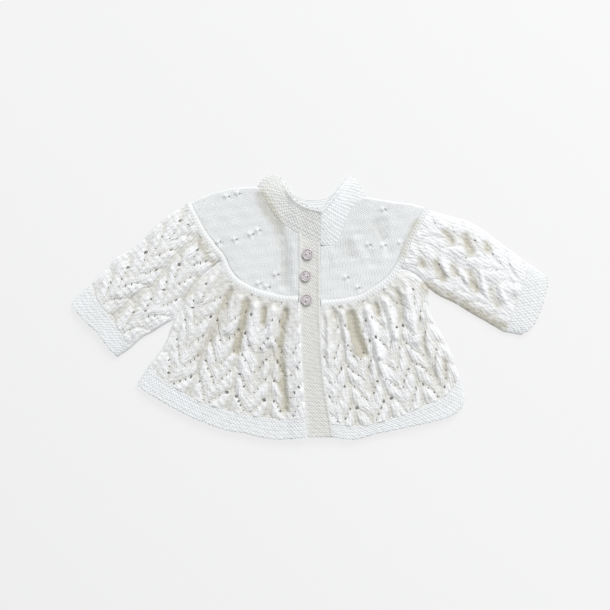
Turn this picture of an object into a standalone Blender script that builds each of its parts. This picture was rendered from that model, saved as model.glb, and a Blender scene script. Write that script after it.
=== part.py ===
"""A hand-knitted baby matinee jacket, buttoned and laid flat with its front up.

Every piece of knitting is a wall between four edges. Its plan is the surface stretched between them, and
its height is one shared cloth height (loft, folds and laps), so pieces that meet at a seam match.
Plan sizes are in millimetres from the jacket's middle: x to the viewer's right, y towards the collar, z up.
Left and right in names are the wearer's, so the wearer's right lies at negative x.
"""

import math

import bmesh
import bpy
import numpy as np

MM = 0.001

# ---- cloth ----
WALL = 2.0              # thickness of the knitted cloth
SEAM = 0.3              # gap between neighbouring pieces and layers
LAYER = WALL + SEAM     # what one layer of cloth lifts the next
INSET = 0.2             # each piece's share of a seam's gap, which curved edges narrow between their points
ROUNDING = 0.6          # how far a front wall's upper rim is worn down
BACK_ROUNDING = 0.3
BACK_INSET = 0.5        # the back stays this far inside the outline
LOFT_REACH = 12.0       # distance from a side edge over which the front swells
YOKE_LOFT = 1.2         # air under the close-lying yoke
SKIRT_LOFT = 3.0        # air under the gathered skirt and the sleeves
STEEPEST = 1.6          # most that a slope thickens a wall, measured upright

# ---- trim ----
WELT_HALF = 4.0         # half the width of the garter welt round the yoke
WELT_RISE = 2.0
ARMHOLE_SHARE = 0.41    # share of the welt, from the shoulder, that carries the sleeve
BAND_LEFT_X = -11.5     # where the buttonhole band starts
LAP_RUN = 14.0          # width over which the right front climbs onto the button band
COLLAR_STAND = {"right": 6.5, "left": 5.2}      # how far a wing's free edge stands above its seam

# ---- buttons ----
BUTTON_RADIUS = 5.6
BUTTON_HEIGHT = 2.6
BUTTON_SIDES = 24
BUTTON_PROFILE = (
    # radius, height: flat base, rounded side, raised rim, dished middle
    (0, 0), (4.4, 0), (5.3, 0.6), (BUTTON_RADIUS, 1.5), (5.2, 2.4), (4.6, BUTTON_HEIGHT), (3.9, 2.2), (3.3, 1.5),
    (0, 1.3),
)
BUTTON_HOLE_RADIUS = 0.75
BUTTON_HOLE_SPREAD = 1.25
BUTTONS = (
    # name, x, y, turn of the holes in degrees
    ("button_top", -2.4, 52.6, 20.0),
    ("button_middle", -4.4, 31.0, -35.0),
    ("button_bottom", -3.4, 7.4, 65.0),
)

# ---- lace: a horseshoe repeat of 10 stitches by 8 rows, its chevrons pointing to the hem and the cuffs ----
REPEAT_STITCHES = 10
REPEAT_ROWS = 8
LACE_COLUMNS = (0, 1, 2, 3.5, 5, 6, 7.5, 9)     # stitches where the wall has a line of points
LACE_ROWS = (0, 1.9, 5.0)                       # rows where it has one
EYELET_STITCHES = (1, 9)                        # where the outer pair of eyelets, the largest, starts
SMALLEST_EYELET = 2.6                           # narrower ones, where the lace is gathered, stay closed
SLIVER = 0.5                                    # lines closer than this to an edge, in stitches or rows, are left out
LACE_RELIEF = 1.1
SKIRT_REPEATS = (4, 6)                          # across, down
SLEEVE_REPEATS = (2, 5)
SKIRT_LEAD = {"right": (1.3, 0.0), "left": (2.8, 0.0)}     # stitches and rows before the first repeat
SLEEVE_LEAD = (0.8, 3.2)
CENTRE_STITCH = 5.5                             # the spine of a repeat
SKIRT_PINCH = 1.2                               # how far the stitches draw in towards the spines, 1 for not at all
SLEEVE_PINCH = 2.2

# ---- outlines, each a few x, y points of a smooth line ----
OUTLINES = {
    "right": {
        "welt": ((-122, 103), (-109, 78), (-98, 62), (-88, 49), (-82, 36), (-72, 25), (-57, 17), (-42, 12),
                 (-27, 9), (-12, 7)),
        "shoulder": ((-52, 120), (-75, 119), (-100, 113)),
        "neck_seam": ((-52, 120), (-45, 107), (-35, 90), (-22, 79), (-11.8, 72.5)),
        "front_edge": ((-11.8, 72.5), (-11.8, 40), (-11.8, 11)),
        "skirt_front_edge": ((-11.8, 3), (-11, -45), (-8, -90), (-6.8, -111)),
        "underarm": ((-105, 34), (-120, 17), (-129, 2), (-135, -12)),
        "sleeve_upper": ((-139, 93), (-150, 85), (-161, 74), (-170, 65), (-181, 56), (-194, 49), (-202, 39),
                         (-211, 31), (-220, 22)),
        "sleeve_lower": ((-135, -12), (-146, -18), (-157, -25), (-168, -31), (-179, -41)),
        "cuff_line": ((-220, 22), (-210, 5), (-198, -11), (-187, -27), (-179, -41)),
        "cuff_end": ((-236, 8), (-236, 0), (-226, -13), (-213, -25), (-201, -41), (-192, -50)),
        "side": ((-135, -12), (-139, -22), (-144, -35), (-152, -47), (-162, -60)),
        "hem_line": ((-162, -60), (-148, -71), (-130, -83), (-108, -95), (-84, -103), (-60, -108), (-34, -111),
                     (-6.8, -111)),
        "hem_end": ((-173, -77), (-166, -83), (-153, -91), (-139, -99), (-120, -109), (-101, -117), (-83, -123),
                    (-64, -126), (-49, -130), (-31, -132), (-4.8, -130)),
        "collar_fold": ((-52, 120), (-48, 127), (-38, 131.5), (-27, 128)),
        "collar_seam": ((-52, 120), (-45, 107), (-35, 90), (-22, 79), (-10, 72.5), (0, 67.5), (10.5, 62)),
        "collar_free": ((-27, 128), (-19, 111), (-10, 103), (-1, 99), (10.5, 96)),
        "back_collar_half": ((-27, 128), (-19, 115), (-9, 108), (3, 106)),
        "back_neck_half": ((-52, 120), (-38, 100), (-20, 87), (1, 82)),
    },
    "left": {
        "welt": ((117, 98), (103, 73), (96, 58), (90, 43), (79, 28), (64, 17), (46, 8), (28, 5), (11, 4)),
        "shoulder": ((54, 110), (79, 106), (100, 103)),
        "neck_seam": ((54, 110), (42, 99), (35, 85), (31, 71), (24, 61.5), (10.8, 60.5)),
        "front_edge": ((10.8, 60.5), (10.8, 30), (10.8, 8)),
        "skirt_front_edge": ((10.8, 0), (13.2, -55), (17.8, -91), (22.2, -116)),
        "underarm": ((101, 35), (110, 28), (118, 19)),
        "sleeve_upper": ((139, 91), (154, 87), (165, 82), (176, 75), (191, 63), (204, 54), (218, 43)),
        "sleeve_lower": ((118, 19), (129, 11), (144, 4), (157, -4), (176, -15), (193, -25)),
        "cuff_line": ((218, 43), (212, 22), (203, -3), (193, -25)),
        "cuff_end": ((232, 34), (237, 26), (233, 8), (228, -8), (220, -21), (210, -28)),
        "side": ((118, 19), (119, 5), (121, -8), (128, -22), (135, -33), (143, -50), (149, -68)),
        "hem_line": ((149, -68), (142, -81), (130, -91), (112, -99), (92, -108), (72, -114), (56, -118), (40, -118),
                     (22.2, -116)),
        "hem_end": ((154, -86), (153, -97), (142, -108), (120, -115), (101, -119), (83, -123), (64, -127),
                    (46, -132), (25, -130)),
        "collar_fold": ((54, 110), (52, 117), (46, 126), (41, 130), (37, 129)),
        "collar_seam": ((54, 110), (42, 99), (35, 85), (31, 71), (24, 61.5), (11, 62.2), (-8, 72)),
        "collar_free": ((37, 129), (26, 114), (18, 104), (10, 96), (1, 96), (-8, 99)),
        "back_collar_half": ((37, 129), (27, 118), (18, 109), (3, 106)),
        "back_neck_half": ((54, 110), (38, 97), (20, 85), (1, 82)),
    },
}
BUTTONHOLE_BAND = {
    "left": ((-11.5, 72), (-11.5, 20), (-11, -45), (-7.7, -90), (-4.5, -129)),
    "right": ((10.5, 61.5), (10.5, 0), (13, -55), (17.5, -91), (24, -129)),
}
BUTTON_BAND = {
    "left": ((-9, 70), (-9, 0), (-8, -50), (-4, -95), (-1, -127)),
    "right": ((10.5, 60.5), (10.5, 0), (12.8, -55), (17.3, -91), (22.5, -127)),
}

# ---- folds: soft ridges (rise > 0) and troughs (rise < 0) along short lines ----
FOLDS = (
    # points of the line, half width, rise
    (((-96, 32), (-112, 2)), 6.0, 2.2),
    (((-77, 22), (-90, -12), (-103, -43)), 5.0, -2.6),
    (((-68, 14), (-76, -8), (-84, -30)), 6.0, 2.6),
    (((-62, 11), (-69, -20), (-76, -50)), 5.0, -2.6),
    (((-53, 7), (-57, -15), (-61, -40)), 6.5, 4.0),
    (((-45, 4), (-48, -22)), 4.0, -2.4),
    (((-34, 2), (-38, -18), (-40, -42)), 6.5, 4.0),
    (((-23, 2), (-30, -36), (-27, -76), (-24, -108)), 5.5, -2.8),
    (((18, -2), (18, -30), (20, -62)), 5.0, 2.4),
    (((25, 0), (24, -16)), 3.5, -2.2),
    (((31, 0), (34, -20), (38, -44)), 5.0, 3.2),
    (((39, -1), (46, -28), (56, -52)), 6.0, -2.8),
    (((55, 3), (61, -20), (70, -55)), 7.0, 4.6),
    (((64, 8), (69, -13)), 4.0, -2.4),
    (((74, 12), (80, -10), (86, -36)), 6.0, 3.4),
    (((85, 22), (90, 2), (93, -18)), 4.5, -2.4),
    (((96, 20), (100, -6), (106, -40)), 7.0, 3.2),
    (((110, -8), (114, -43), (130, -84)), 5.0, -2.2),
    (((133, -48), (137, -80)), 4.0, -1.8),
    (((-27, 77), (-27, 15)), 6.0, -1.0),
    (((46, 77), (65, 37)), 8.0, -1.0),
    (((70, 92), (80, 47)), 8.0, -1.0),
    (((-140, 62), (-166, 34), (-196, 8)), 14.0, 1.4),
    (((138, 62), (168, 44), (206, 10)), 14.0, 1.4),
)
FOLD_FADE = 7.0         # length over which a fold starts and ends

WOOL = (0.93, 0.91, 0.86, 1.0)
TRIM_WOOL = (0.91, 0.88, 0.81, 1.0)
PEARL_PINK = (0.78, 0.66, 0.66, 1.0)
WOOL_ROUGHNESS = 0.9
BUTTON_ROUGHNESS = 0.25


# ---------------------------------------------------------------- lines in the plan

def smooth_line(points, pieces=16):
    """A dense smooth line through the points, each stretch a Catmull-Rom cubic."""
    knots = np.array(points, float)
    padded = np.vstack([2 * knots[0] - knots[1], knots, 2 * knots[-1] - knots[-2]])
    t = np.linspace(0, 1, pieces, endpoint=False)[:, None]
    stretches = []
    for a, b, c, d in zip(padded, padded[1:], padded[2:], padded[3:]):
        stretches.append(0.5 * (2 * b + (c - a) * t + (2 * a - 5 * b + 4 * c - d) * t ** 2
                                + (3 * b - a - 3 * c + d) * t ** 3))
    return np.vstack(stretches + [knots[-1:]])


def joined(*lines):
    """One line out of several that meet end to start."""
    return np.vstack([lines[0]] + [line[1:] for line in lines[1:]])


def travelled(line):
    """Share of a line's length at each of its points."""
    steps = np.hypot(*np.diff(line, axis=0).T)
    run = np.concatenate([[0.0], np.cumsum(steps)])
    return run / run[-1]


def length(line):
    return float(np.hypot(*np.diff(line, axis=0).T).sum())


def at(line, shares):
    """Points of a line at the given shares of its length."""
    run = travelled(line)
    return np.stack([np.interp(shares, run, line[:, k]) for k in (0, 1)], axis=-1)


def stretch(line, start, end):
    """The part of a line between two shares of its length."""
    run = travelled(line)
    inner = line[(run > start) & (run < end)]
    return np.vstack([at(line, [start]), inner, at(line, [end])])


def beside(line, distance):
    """The line moved sideways, to its left when the distance is positive."""
    tangent = np.gradient(line, axis=0)
    tangent /= np.hypot(tangent[:, 0], tangent[:, 1])[:, None]
    return line + distance * np.stack([-tangent[:, 1], tangent[:, 0]], axis=1)


def nearest(line, x, y):
    """Distance from each point to a line, and how far along it the nearest place lies."""
    best = np.full(np.shape(x), np.inf)
    along = np.zeros(np.shape(x))
    run = 0.0
    for a, b in zip(line, line[1:]):
        step = b - a
        span = float(np.hypot(*step))
        share = np.clip(((x - a[0]) * step[0] + (y - a[1]) * step[1]) / span ** 2, 0, 1)
        gap = np.hypot(x - a[0] - share * step[0], y - a[1] - share * step[1])
        closer = gap < best
        best = np.where(closer, gap, best)
        along = np.where(closer, run + share * span, along)
        run += span
    return best, along


def eased(value):
    """0 below 0, 1 above 1, and a smooth step between."""
    value = np.clip(value, 0, 1)
    return value * value * (3 - 2 * value)


# ---------------------------------------------------------------- edges of the pieces

def side_edges(side):
    """All the lines of one front half, with corners that meet."""
    table = {name: smooth_line(points) for name, points in OUTLINES[side].items()}
    outward = -1 if side == "right" else 1
    welt = table["welt"]
    inner = beside(welt, -outward * WELT_HALF)
    outer = beside(welt, outward * WELT_HALF)
    armhole = stretch(outer, 0, ARMHOLE_SHARE)
    gathers = stretch(outer, ARMHOLE_SHARE, 1)
    underarm = smooth_line([tuple(armhole[-1])] + list(OUTLINES[side]["underarm"]))
    cuff_line = table["cuff_line"]
    cuff_end = table["cuff_end"]
    hem_line = table["hem_line"]
    hem_end = table["hem_end"]
    table.update({
        "welt_inner": inner,
        "welt_outer": outer,
        "armhole": armhole,
        "gathers": gathers,
        "shoulder": smooth_line(list(OUTLINES[side]["shoulder"]) + [tuple(inner[0])]),
        "sleeve_upper": smooth_line([tuple(armhole[0])] + list(OUTLINES[side]["sleeve_upper"])),
        "sleeve_lower": joined(underarm, table["sleeve_lower"]),
        "side": joined(underarm, table["side"]),
        "cuff_upper": np.array([cuff_line[0], cuff_end[0]]),
        "cuff_lower": np.array([cuff_line[-1], cuff_end[-1]]),
        "hem_side": np.array([hem_line[0], hem_end[0]]),
        "hem_front": np.array([hem_line[-1], hem_end[-1]]),
    })
    return table


EDGES = {side: side_edges(side) for side in OUTLINES}
SIDE_SEAMS = [EDGES[side][name] for side in EDGES
              for name in ("shoulder", "sleeve_upper", "sleeve_lower", "side", "cuff_upper", "cuff_lower", "hem_side")]
FOLD_LINES = [(smooth_line(points, 6), half, rise) for points, half, rise in FOLDS]


# ---------------------------------------------------------------- heights

def inner_height(x, y, loft, lap):
    """Height of the front cloth's inner face: loft, folds, and the lap of the right front."""
    edge = np.min([nearest(line, x, y)[0] for line in SIDE_SEAMS], axis=0)
    height = LAYER + loft * (1 - np.exp(-edge / LOFT_REACH * 2))
    swell = eased(edge / LOFT_REACH)
    for line, half, rise in FOLD_LINES:
        gap, along = nearest(line, x, y)
        across = np.cos(np.clip(gap / half, 0, 1) * math.pi / 2) ** 2
        ends = eased(along / FOLD_FADE) * eased((length(line) - along) / FOLD_FADE)
        height = height + rise * across * ends * swell
    if lap:
        height = height + LAYER * eased((x - BAND_LEFT_X + LAP_RUN) / LAP_RUN)
    return np.maximum(height, LAYER)


def wall_height(x, y, loft, lap):
    """How thick the wall is, measured upright: more where it slopes."""
    step = 0.5
    slope_x = inner_height(x + step, y, loft, lap) - inner_height(x - step, y, loft, lap)
    slope_y = inner_height(x, y + step, loft, lap) - inner_height(x, y - step, loft, lap)
    steep = np.sqrt(1 + (slope_x ** 2 + slope_y ** 2) / (2 * step) ** 2)
    return WALL * np.minimum(steep, STEEPEST)


def lace_relief(stitch, row):
    """Height of the puffed chevrons between the lines of eyelets."""
    aside = np.abs(stitch % REPEAT_STITCHES - CENTRE_STITCH)
    start = REPEAT_ROWS * (4 - aside) / 3
    phase = ((row - start) / REPEAT_ROWS) % 1.0
    return LACE_RELIEF * np.sin(math.pi * phase) ** 0.8


# ---------------------------------------------------------------- walls

def patch(top, bottom, first, last, columns, rows, inset=INSET):
    """Plan points between four edges: columns run along top and bottom, rows along first and last."""
    trim_u = inset * 2 / (length(top) + length(bottom))
    trim_v = inset * 2 / (length(first) + length(last))
    u = trim_u + np.asarray(columns) * (1 - 2 * trim_u)
    v = trim_v + np.asarray(rows) * (1 - 2 * trim_v)
    u_grid = u[None, :, None]
    v_grid = v[:, None, None]
    ruled_down = (1 - v_grid) * at(top, u)[None] + v_grid * at(bottom, u)[None]
    ruled_across = (1 - u_grid) * at(first, v)[:, None] + u_grid * at(last, v)[:, None]
    corners = ((1 - u_grid) * (1 - v_grid) * top[0] + u_grid * (1 - v_grid) * top[-1]
               + (1 - u_grid) * v_grid * bottom[0] + u_grid * v_grid * bottom[-1])
    return ruled_down + ruled_across - corners


def even(count):
    return np.linspace(0, 1, count + 1)


def material(name, colour, roughness):
    surface = bpy.data.materials.new(name)
    surface.use_nodes = True
    shader = surface.node_tree.nodes["Principled BSDF"]
    shader.inputs["Base Color"].default_value = colour
    shader.inputs["Roughness"].default_value = roughness
    shader.inputs["Metallic"].default_value = 0.0
    return surface


def finish(name, mesh, colour, roughness, smooth):
    """Turn a bmesh into a named object with its own material."""
    bmesh.ops.recalc_face_normals(mesh, faces=mesh.faces)
    data = bpy.data.meshes.new(name)
    mesh.to_mesh(data)
    mesh.free()
    if smooth:
        data.shade_smooth()
        data.set_sharp_from_angle(angle=math.radians(50))
    data.materials.append(material(name + "_finish", colour, roughness))
    thing = bpy.data.objects.new(name, data)
    bpy.context.scene.collection.objects.link(thing)
    return thing


def wall(name, plan, top, low, colour=WOOL, holes=()):
    """A closed wall over a grid of plan points, with some cells cut through."""
    rows, columns = top.shape
    mesh = bmesh.new()
    middle_x, middle_y = PLAN_MIDDLE
    faces = []
    for heights in (top, low):
        faces.append([[mesh.verts.new(((plan[i, j, 0] - middle_x) * MM, (plan[i, j, 1] - middle_y) * MM,
                                       heights[i, j] * MM)) for j in range(columns)] for i in range(rows)])
    upper, lower = faces
    cells = {(i, j) for i in range(rows - 1) for j in range(columns - 1)} - set(holes)
    for i, j in sorted(cells):
        ring = ((i, j), (i, j + 1), (i + 1, j + 1), (i + 1, j))
        mesh.faces.new([upper[a][b] for a, b in ring])
        mesh.faces.new([lower[a][b] for a, b in reversed(ring)])
        beyond = ((i - 1, j), (i, j + 1), (i + 1, j), (i, j - 1))
        for k, neighbour in enumerate(beyond):
            if neighbour not in cells:
                (a, b), (c, d) = ring[k], ring[(k + 1) % 4]
                mesh.faces.new((upper[c][d], upper[a][b], lower[a][b], lower[c][d]))
    for point in [p for p in mesh.verts if not p.link_faces]:
        mesh.verts.remove(point)
    return finish(name, mesh, colour, WOOL_ROUGHNESS, smooth=True)


def rim_mask(shape):
    mask = np.zeros(shape, bool)
    mask[[0, -1], :] = True
    mask[:, [0, -1]] = True
    return mask


def front_wall(name, plan, loft, lap=False, lift=0.0, relief=0.0, colour=WOOL, holes=()):
    """A piece of the front: the shared cloth height, plus its own lift and relief."""
    x, y = plan[..., 0], plan[..., 1]
    low = inner_height(x, y, loft, lap) + lift
    top = low + wall_height(x, y, loft, lap) + relief
    top = np.where(rim_mask(top.shape), top - ROUNDING, top)
    return wall(name, plan, top, low, colour, holes)


def back_wall(name, plan, colour=WOOL):
    """A piece of the back: a flat wall that lies on the table."""
    top = np.full(plan.shape[:2], WALL)
    top = np.where(rim_mask(top.shape), top - BACK_ROUNDING, top)
    return wall(name, plan, top, np.zeros(top.shape), colour)


# ---------------------------------------------------------------- pieces

def lines_between(start, end, repeat, steps):
    """The lines of every repeat that lie between two edges, and the edges themselves."""
    lines = [repeat * k + step for k in range(int(end // repeat) + 1) for step in steps]
    return [start] + [line for line in lines if start + SLIVER < line < end - SLIVER] + [end]


def lace_grid(repeats, lead):
    """Stitch and row lines of a lace piece, counted from its first repeat, and the cells of its outer eyelets."""
    across, down = repeats
    before, above = lead
    stitches = lines_between(-before, REPEAT_STITCHES * across + 1 - before, REPEAT_STITCHES, LACE_COLUMNS)
    rows = lines_between(-above, REPEAT_ROWS * down, REPEAT_ROWS, LACE_ROWS)
    eyelet_columns = [j for j, (a, b) in enumerate(zip(stitches, stitches[1:]))
                      if a % REPEAT_STITCHES in EYELET_STITCHES and b == a + 1]
    eyelet_rows = [i for i, row in enumerate(rows[:-1]) if row % REPEAT_ROWS == 0]
    return np.array(stitches), np.array(rows), [(i, j) for i in eyelet_rows for j in eyelet_columns]


def drawn_in(stitch, pinch):
    """Where stitches lie, counted in even stitches, once each repeat has drawn in towards its spine."""
    half = REPEAT_STITCHES / 2
    spine = np.floor((stitch - CENTRE_STITCH + half) / REPEAT_STITCHES) * REPEAT_STITCHES + CENTRE_STITCH
    aside = stitch - spine
    return spine + np.sign(aside) * half * (1 - (1 - np.abs(aside) / half) ** (1 / pinch))


def lace_piece(name, edges, repeats, lead, pinch, lap=False):
    """A lace wall; its edges are top, bottom, first and last."""
    stitches, rows, cells = lace_grid(repeats, lead)
    places = drawn_in(stitches, pinch)
    shares = [(lines - lines[0]) / (lines[-1] - lines[0]) for lines in (places, rows)]
    plan = patch(*edges, *shares)
    wide = np.hypot(*np.moveaxis(np.diff(plan, axis=1), -1, 0))
    holes = [cell for cell in cells if wide[cell] > SMALLEST_EYELET and 0 < cell[0]]
    relief = lace_relief(stitches[None, :], rows[:, None])
    return front_wall(name, plan, SKIRT_LOFT, lap, relief=relief, holes=holes)


def front_half(side):
    """Yoke, welt, skirt, hem, sleeve and cuff of one front half."""
    edge = EDGES[side]
    lap = side == "right"
    yoke = patch(edge["neck_seam"], edge["welt_inner"], edge["shoulder"], edge["front_edge"], even(20), even(8))
    front_wall(side + "_yoke", yoke, YOKE_LOFT, lap)

    ends = [np.array([edge["welt_inner"][k], edge["welt_outer"][k]]) for k in (0, -1)]
    rows = np.array([0, 0.3, 0.7, 1])
    welt = patch(edge["welt_inner"], edge["welt_outer"], ends[0], ends[1], even(26), rows)
    loft = YOKE_LOFT + (SKIRT_LOFT - YOKE_LOFT) * rows[:, None]
    crown = WELT_RISE * np.array([0.2, 1, 1, 0.2])[:, None]
    front_wall(side + "_welt", welt, loft, lap, relief=crown, colour=TRIM_WOOL)

    skirt = [edge[name] for name in ("gathers", "hem_line", "side", "skirt_front_edge")]
    lace_piece(side + "_skirt", skirt, SKIRT_REPEATS, SKIRT_LEAD[side], SKIRT_PINCH, lap)
    sleeve = [edge[name] for name in ("armhole", "cuff_line", "sleeve_upper", "sleeve_lower")]
    lace_piece(side + "_sleeve_front", sleeve, SLEEVE_REPEATS, SLEEVE_LEAD, SLEEVE_PINCH)
    hem = patch(edge["hem_line"], edge["hem_end"], edge["hem_side"], edge["hem_front"], even(30), even(2))
    front_wall(side + "_hem", hem, SKIRT_LOFT, lap, colour=TRIM_WOOL)
    cuff = patch(edge["cuff_line"], edge["cuff_end"], edge["cuff_upper"], edge["cuff_lower"], even(10), even(2))
    front_wall(side + "_cuff_front", cuff, SKIRT_LOFT, colour=TRIM_WOOL)


def sleeve_back(side):
    edge = EDGES[side]
    tube = patch(edge["armhole"], edge["cuff_line"], edge["sleeve_upper"], edge["sleeve_lower"], even(4), even(16),
                 BACK_INSET)
    back_wall(side + "_sleeve_back", tube)
    cuff = patch(edge["cuff_line"], edge["cuff_end"], edge["cuff_upper"], edge["cuff_lower"], even(8), even(1),
                 BACK_INSET)
    back_wall(side + "_cuff_back", cuff, TRIM_WOOL)


def across_both(name):
    """A line of the right half, then the same line of the left half backwards."""
    return joined(EDGES["right"][name], EDGES["left"][name][::-1])


def back_body():
    """Yoke, collar, skirt and hem of the back, each one piece from side to side."""
    right, left = EDGES["right"], EDGES["left"]
    neck = across_both("back_neck_half")
    yoke_top = joined(right["shoulder"][::-1], neck, left["shoulder"])
    yoke_bottom = joined(right["gathers"], left["gathers"][::-1])
    armholes = [joined(np.array([half["welt_inner"][0]]), half["armhole"]) for half in (right, left)]
    yoke = patch(yoke_top, yoke_bottom, armholes[0], armholes[1], even(28), even(6), BACK_INSET)
    back_wall("back_yoke", yoke)

    skirt_bottom = joined(right["hem_line"], left["hem_line"][::-1])
    skirt = patch(yoke_bottom, skirt_bottom, right["side"], left["side"], even(24), even(10), BACK_INSET)
    back_wall("back_skirt", skirt)

    hem_bottom = joined(right["hem_end"], left["hem_end"][::-1])
    hem = patch(skirt_bottom, hem_bottom, right["hem_side"], left["hem_side"], even(32), even(1), BACK_INSET)
    back_wall("back_hem", hem, TRIM_WOOL)

    collar = patch(across_both("back_collar_half"), neck, right["collar_fold"][::-1], left["collar_fold"][::-1],
                   even(20), even(3), SEAM)
    back_wall("back_collar", collar, TRIM_WOOL)


def collar_wing(side):
    """One front wing of the collar, standing highest along its free edge."""
    edge = EDGES[side]
    front_end = np.array([edge["collar_seam"][-1], edge["collar_free"][-1]])
    rows = even(4)
    columns = even(14)
    plan = patch(edge["collar_seam"], edge["collar_free"], edge["collar_fold"], front_end, columns, rows)
    stand = COLLAR_STAND[side] * rows[:, None] * eased(columns / 0.35)[None, :]
    front_wall(side + "_collar", plan, YOKE_LOFT, side == "right", lift=stand, colour=TRIM_WOOL)


def front_band(name, sides, lap):
    """A straight band down the front: the lap decides whether it is the upper one."""
    left, right = (smooth_line(sides[key]) for key in ("left", "right"))
    top = np.array([left[0], right[0]])
    bottom = np.array([left[-1], right[-1]])
    plan = patch(top, bottom, left, right, even(4), even(26), inset=0.0)
    front_wall(name, plan, YOKE_LOFT, lap, colour=TRIM_WOOL)


def button(name, x, y, turn):
    """A turned two-hole button with a raised rim round a dished middle."""
    mesh = bmesh.new()
    points = [mesh.verts.new((radius * MM, 0, height * MM)) for radius, height in BUTTON_PROFILE]
    line = [mesh.edges.new(pair) for pair in zip(points, points[1:])]
    bmesh.ops.spin(mesh, geom=points + line, cent=(0, 0, 0), axis=(0, 0, 1), angle=2 * math.pi,
                   steps=BUTTON_SIDES, use_merge=True)
    bmesh.ops.remove_doubles(mesh, verts=mesh.verts, dist=0.001 * MM)
    thing = finish(name, mesh, PEARL_PINK, BUTTON_ROUGHNESS, smooth=True)
    seat = band_top(x, y) + SEAM
    place = np.array([x - PLAN_MIDDLE[0], y - PLAN_MIDDLE[1], seat]) * MM
    thing.location = place
    angle = math.radians(turn)
    spread = BUTTON_HOLE_SPREAD * MM * np.array([math.cos(angle), math.sin(angle), 0])
    for end, centre in (("a", place - spread), ("b", place + spread)):
        cut = thing.modifiers.new("hole_" + end, "BOOLEAN")
        cut.operation = "DIFFERENCE"
        cut.object = drill(name + "_drill_" + end, centre)
    return thing


def drill(name, centre):
    """A cutter for one hole of a button."""
    bpy.ops.mesh.primitive_cylinder_add(vertices=10, radius=BUTTON_HOLE_RADIUS * MM, depth=4 * BUTTON_HEIGHT * MM,
                                        location=centre)
    cutter = bpy.context.object
    cutter.name = name
    cutter.hide_render = True
    cutter.display_type = "WIRE"
    return cutter


def band_top(x, y):
    """Highest point of the buttonhole band under a button."""
    turns = np.linspace(0, 2 * math.pi, 24, endpoint=False)
    near_x = np.concatenate([[x], x + (BUTTON_RADIUS + 1) * np.cos(turns)])
    near_y = np.concatenate([[y], y + (BUTTON_RADIUS + 1) * np.sin(turns)])
    top = inner_height(near_x, near_y, YOKE_LOFT, True) + wall_height(near_x, near_y, YOKE_LOFT, True)
    return float(top.max())


def plan_middle():
    """Middle of the jacket's outline, which becomes the origin."""
    lines = np.vstack([line for edges in EDGES.values() for line in edges.values()])
    return (lines.min(axis=0) + lines.max(axis=0)) / 2


PLAN_MIDDLE = plan_middle()


def main():
    for thing in list(bpy.data.objects):
        bpy.data.objects.remove(thing, do_unlink=True)
    back_body()
    for side in OUTLINES:
        sleeve_back(side)
        front_half(side)
        collar_wing(side)
    front_band("button_band", BUTTON_BAND, lap=False)
    front_band("buttonhole_band", BUTTONHOLE_BAND, lap=True)
    for row in BUTTONS:
        button(*row)


main()
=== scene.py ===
"""The looks of a hand-knitted baby matinee jacket that lies flat, buttoned, with its front up.

Every piece of knitting is one dense sheet. Its plan is stretched between four edges, its height is the same
cloth height as the solid it stands for, and its stitches are raised on a lattice of stitches and rows:
plain knitting on the yoke, garter ridges on the trims and horseshoe lace, with real eyelets, on the skirt
and sleeves. Plan sizes are in millimetres from the jacket's middle: x to the viewer's right, y towards the
collar, z up. Left and right in names are the wearer's, so the wearer's right lies at negative x.
"""

import itertools
import math

import bmesh
import bpy
import numpy as np
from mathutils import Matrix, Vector


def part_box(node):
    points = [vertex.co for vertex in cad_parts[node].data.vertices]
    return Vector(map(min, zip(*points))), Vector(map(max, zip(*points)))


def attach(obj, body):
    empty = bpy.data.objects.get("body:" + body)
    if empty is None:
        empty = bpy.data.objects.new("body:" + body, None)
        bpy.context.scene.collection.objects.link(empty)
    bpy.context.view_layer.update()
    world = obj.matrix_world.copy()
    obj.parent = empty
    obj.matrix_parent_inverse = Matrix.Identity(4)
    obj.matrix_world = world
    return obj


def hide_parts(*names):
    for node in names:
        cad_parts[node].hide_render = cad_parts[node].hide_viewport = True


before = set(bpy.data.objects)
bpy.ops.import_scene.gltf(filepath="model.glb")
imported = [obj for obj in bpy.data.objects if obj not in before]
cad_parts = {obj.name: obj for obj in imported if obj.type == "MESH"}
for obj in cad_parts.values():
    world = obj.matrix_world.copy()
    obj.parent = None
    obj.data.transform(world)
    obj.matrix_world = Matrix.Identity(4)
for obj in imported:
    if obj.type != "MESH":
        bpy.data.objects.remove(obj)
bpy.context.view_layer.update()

MM = 0.001

# ---- cloth ----
WALL = 2.0
SEAM = 0.3
LAYER = WALL + SEAM
LOFT_REACH = 12.0
YOKE_LOFT = 1.2
SKIRT_LOFT = 3.0
SIDE_ROUND = 2.2        # radius over which the front turns down to meet the back at a side
END_ROUND = 1.0         # radius of a knitted-off edge
LIP = 1.6               # how far a free edge is lined inside

# ---- trim ----
WELT_HALF = 4.0
WELT_CUT = 10.5         # the welt's width before it arches up
WELT_TUCK = 1.4         # how far the neighbouring cloth runs on under the welt
ARMHOLE_SHARE = 0.41
BAND_LEFT_X = -11.5
LAP_RUN = 14.0
UNDERLAP = 2.5          # how far the fronts run on under the buttonhole band
NECK_TUCK = 1.5         # and the yokes under the collar
BAND_TUCK = 2.5         # and the buttonhole band
SINK = 1.2              # how far cloth sinks where it goes under, and over what length
SINK_RUN = 2.2
EDGE_RIDGE = 0.8        # the chain of stitches that stands up along the buttonhole band's edges
EDGE_RIDGE_IN = 1.6     # how far inside the edge it runs
SCALLOP = 0.8           # how far the ridges' ends swing a free edge in and out
SCALLOP_PITCH = 5.5
COLLAR_STAND = {"right": 6.5, "left": 5.2}
COLLAR_RISE = 0.35      # share of its length over which it rises to that
# painted shade over each collar wing, more on the right one, which stands tilted away from the lamp, and over
# the buttonhole band
COLLAR_SHADE = {"right": 0.25, "left": 0.0}
BAND_SHADE = 0.35

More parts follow.
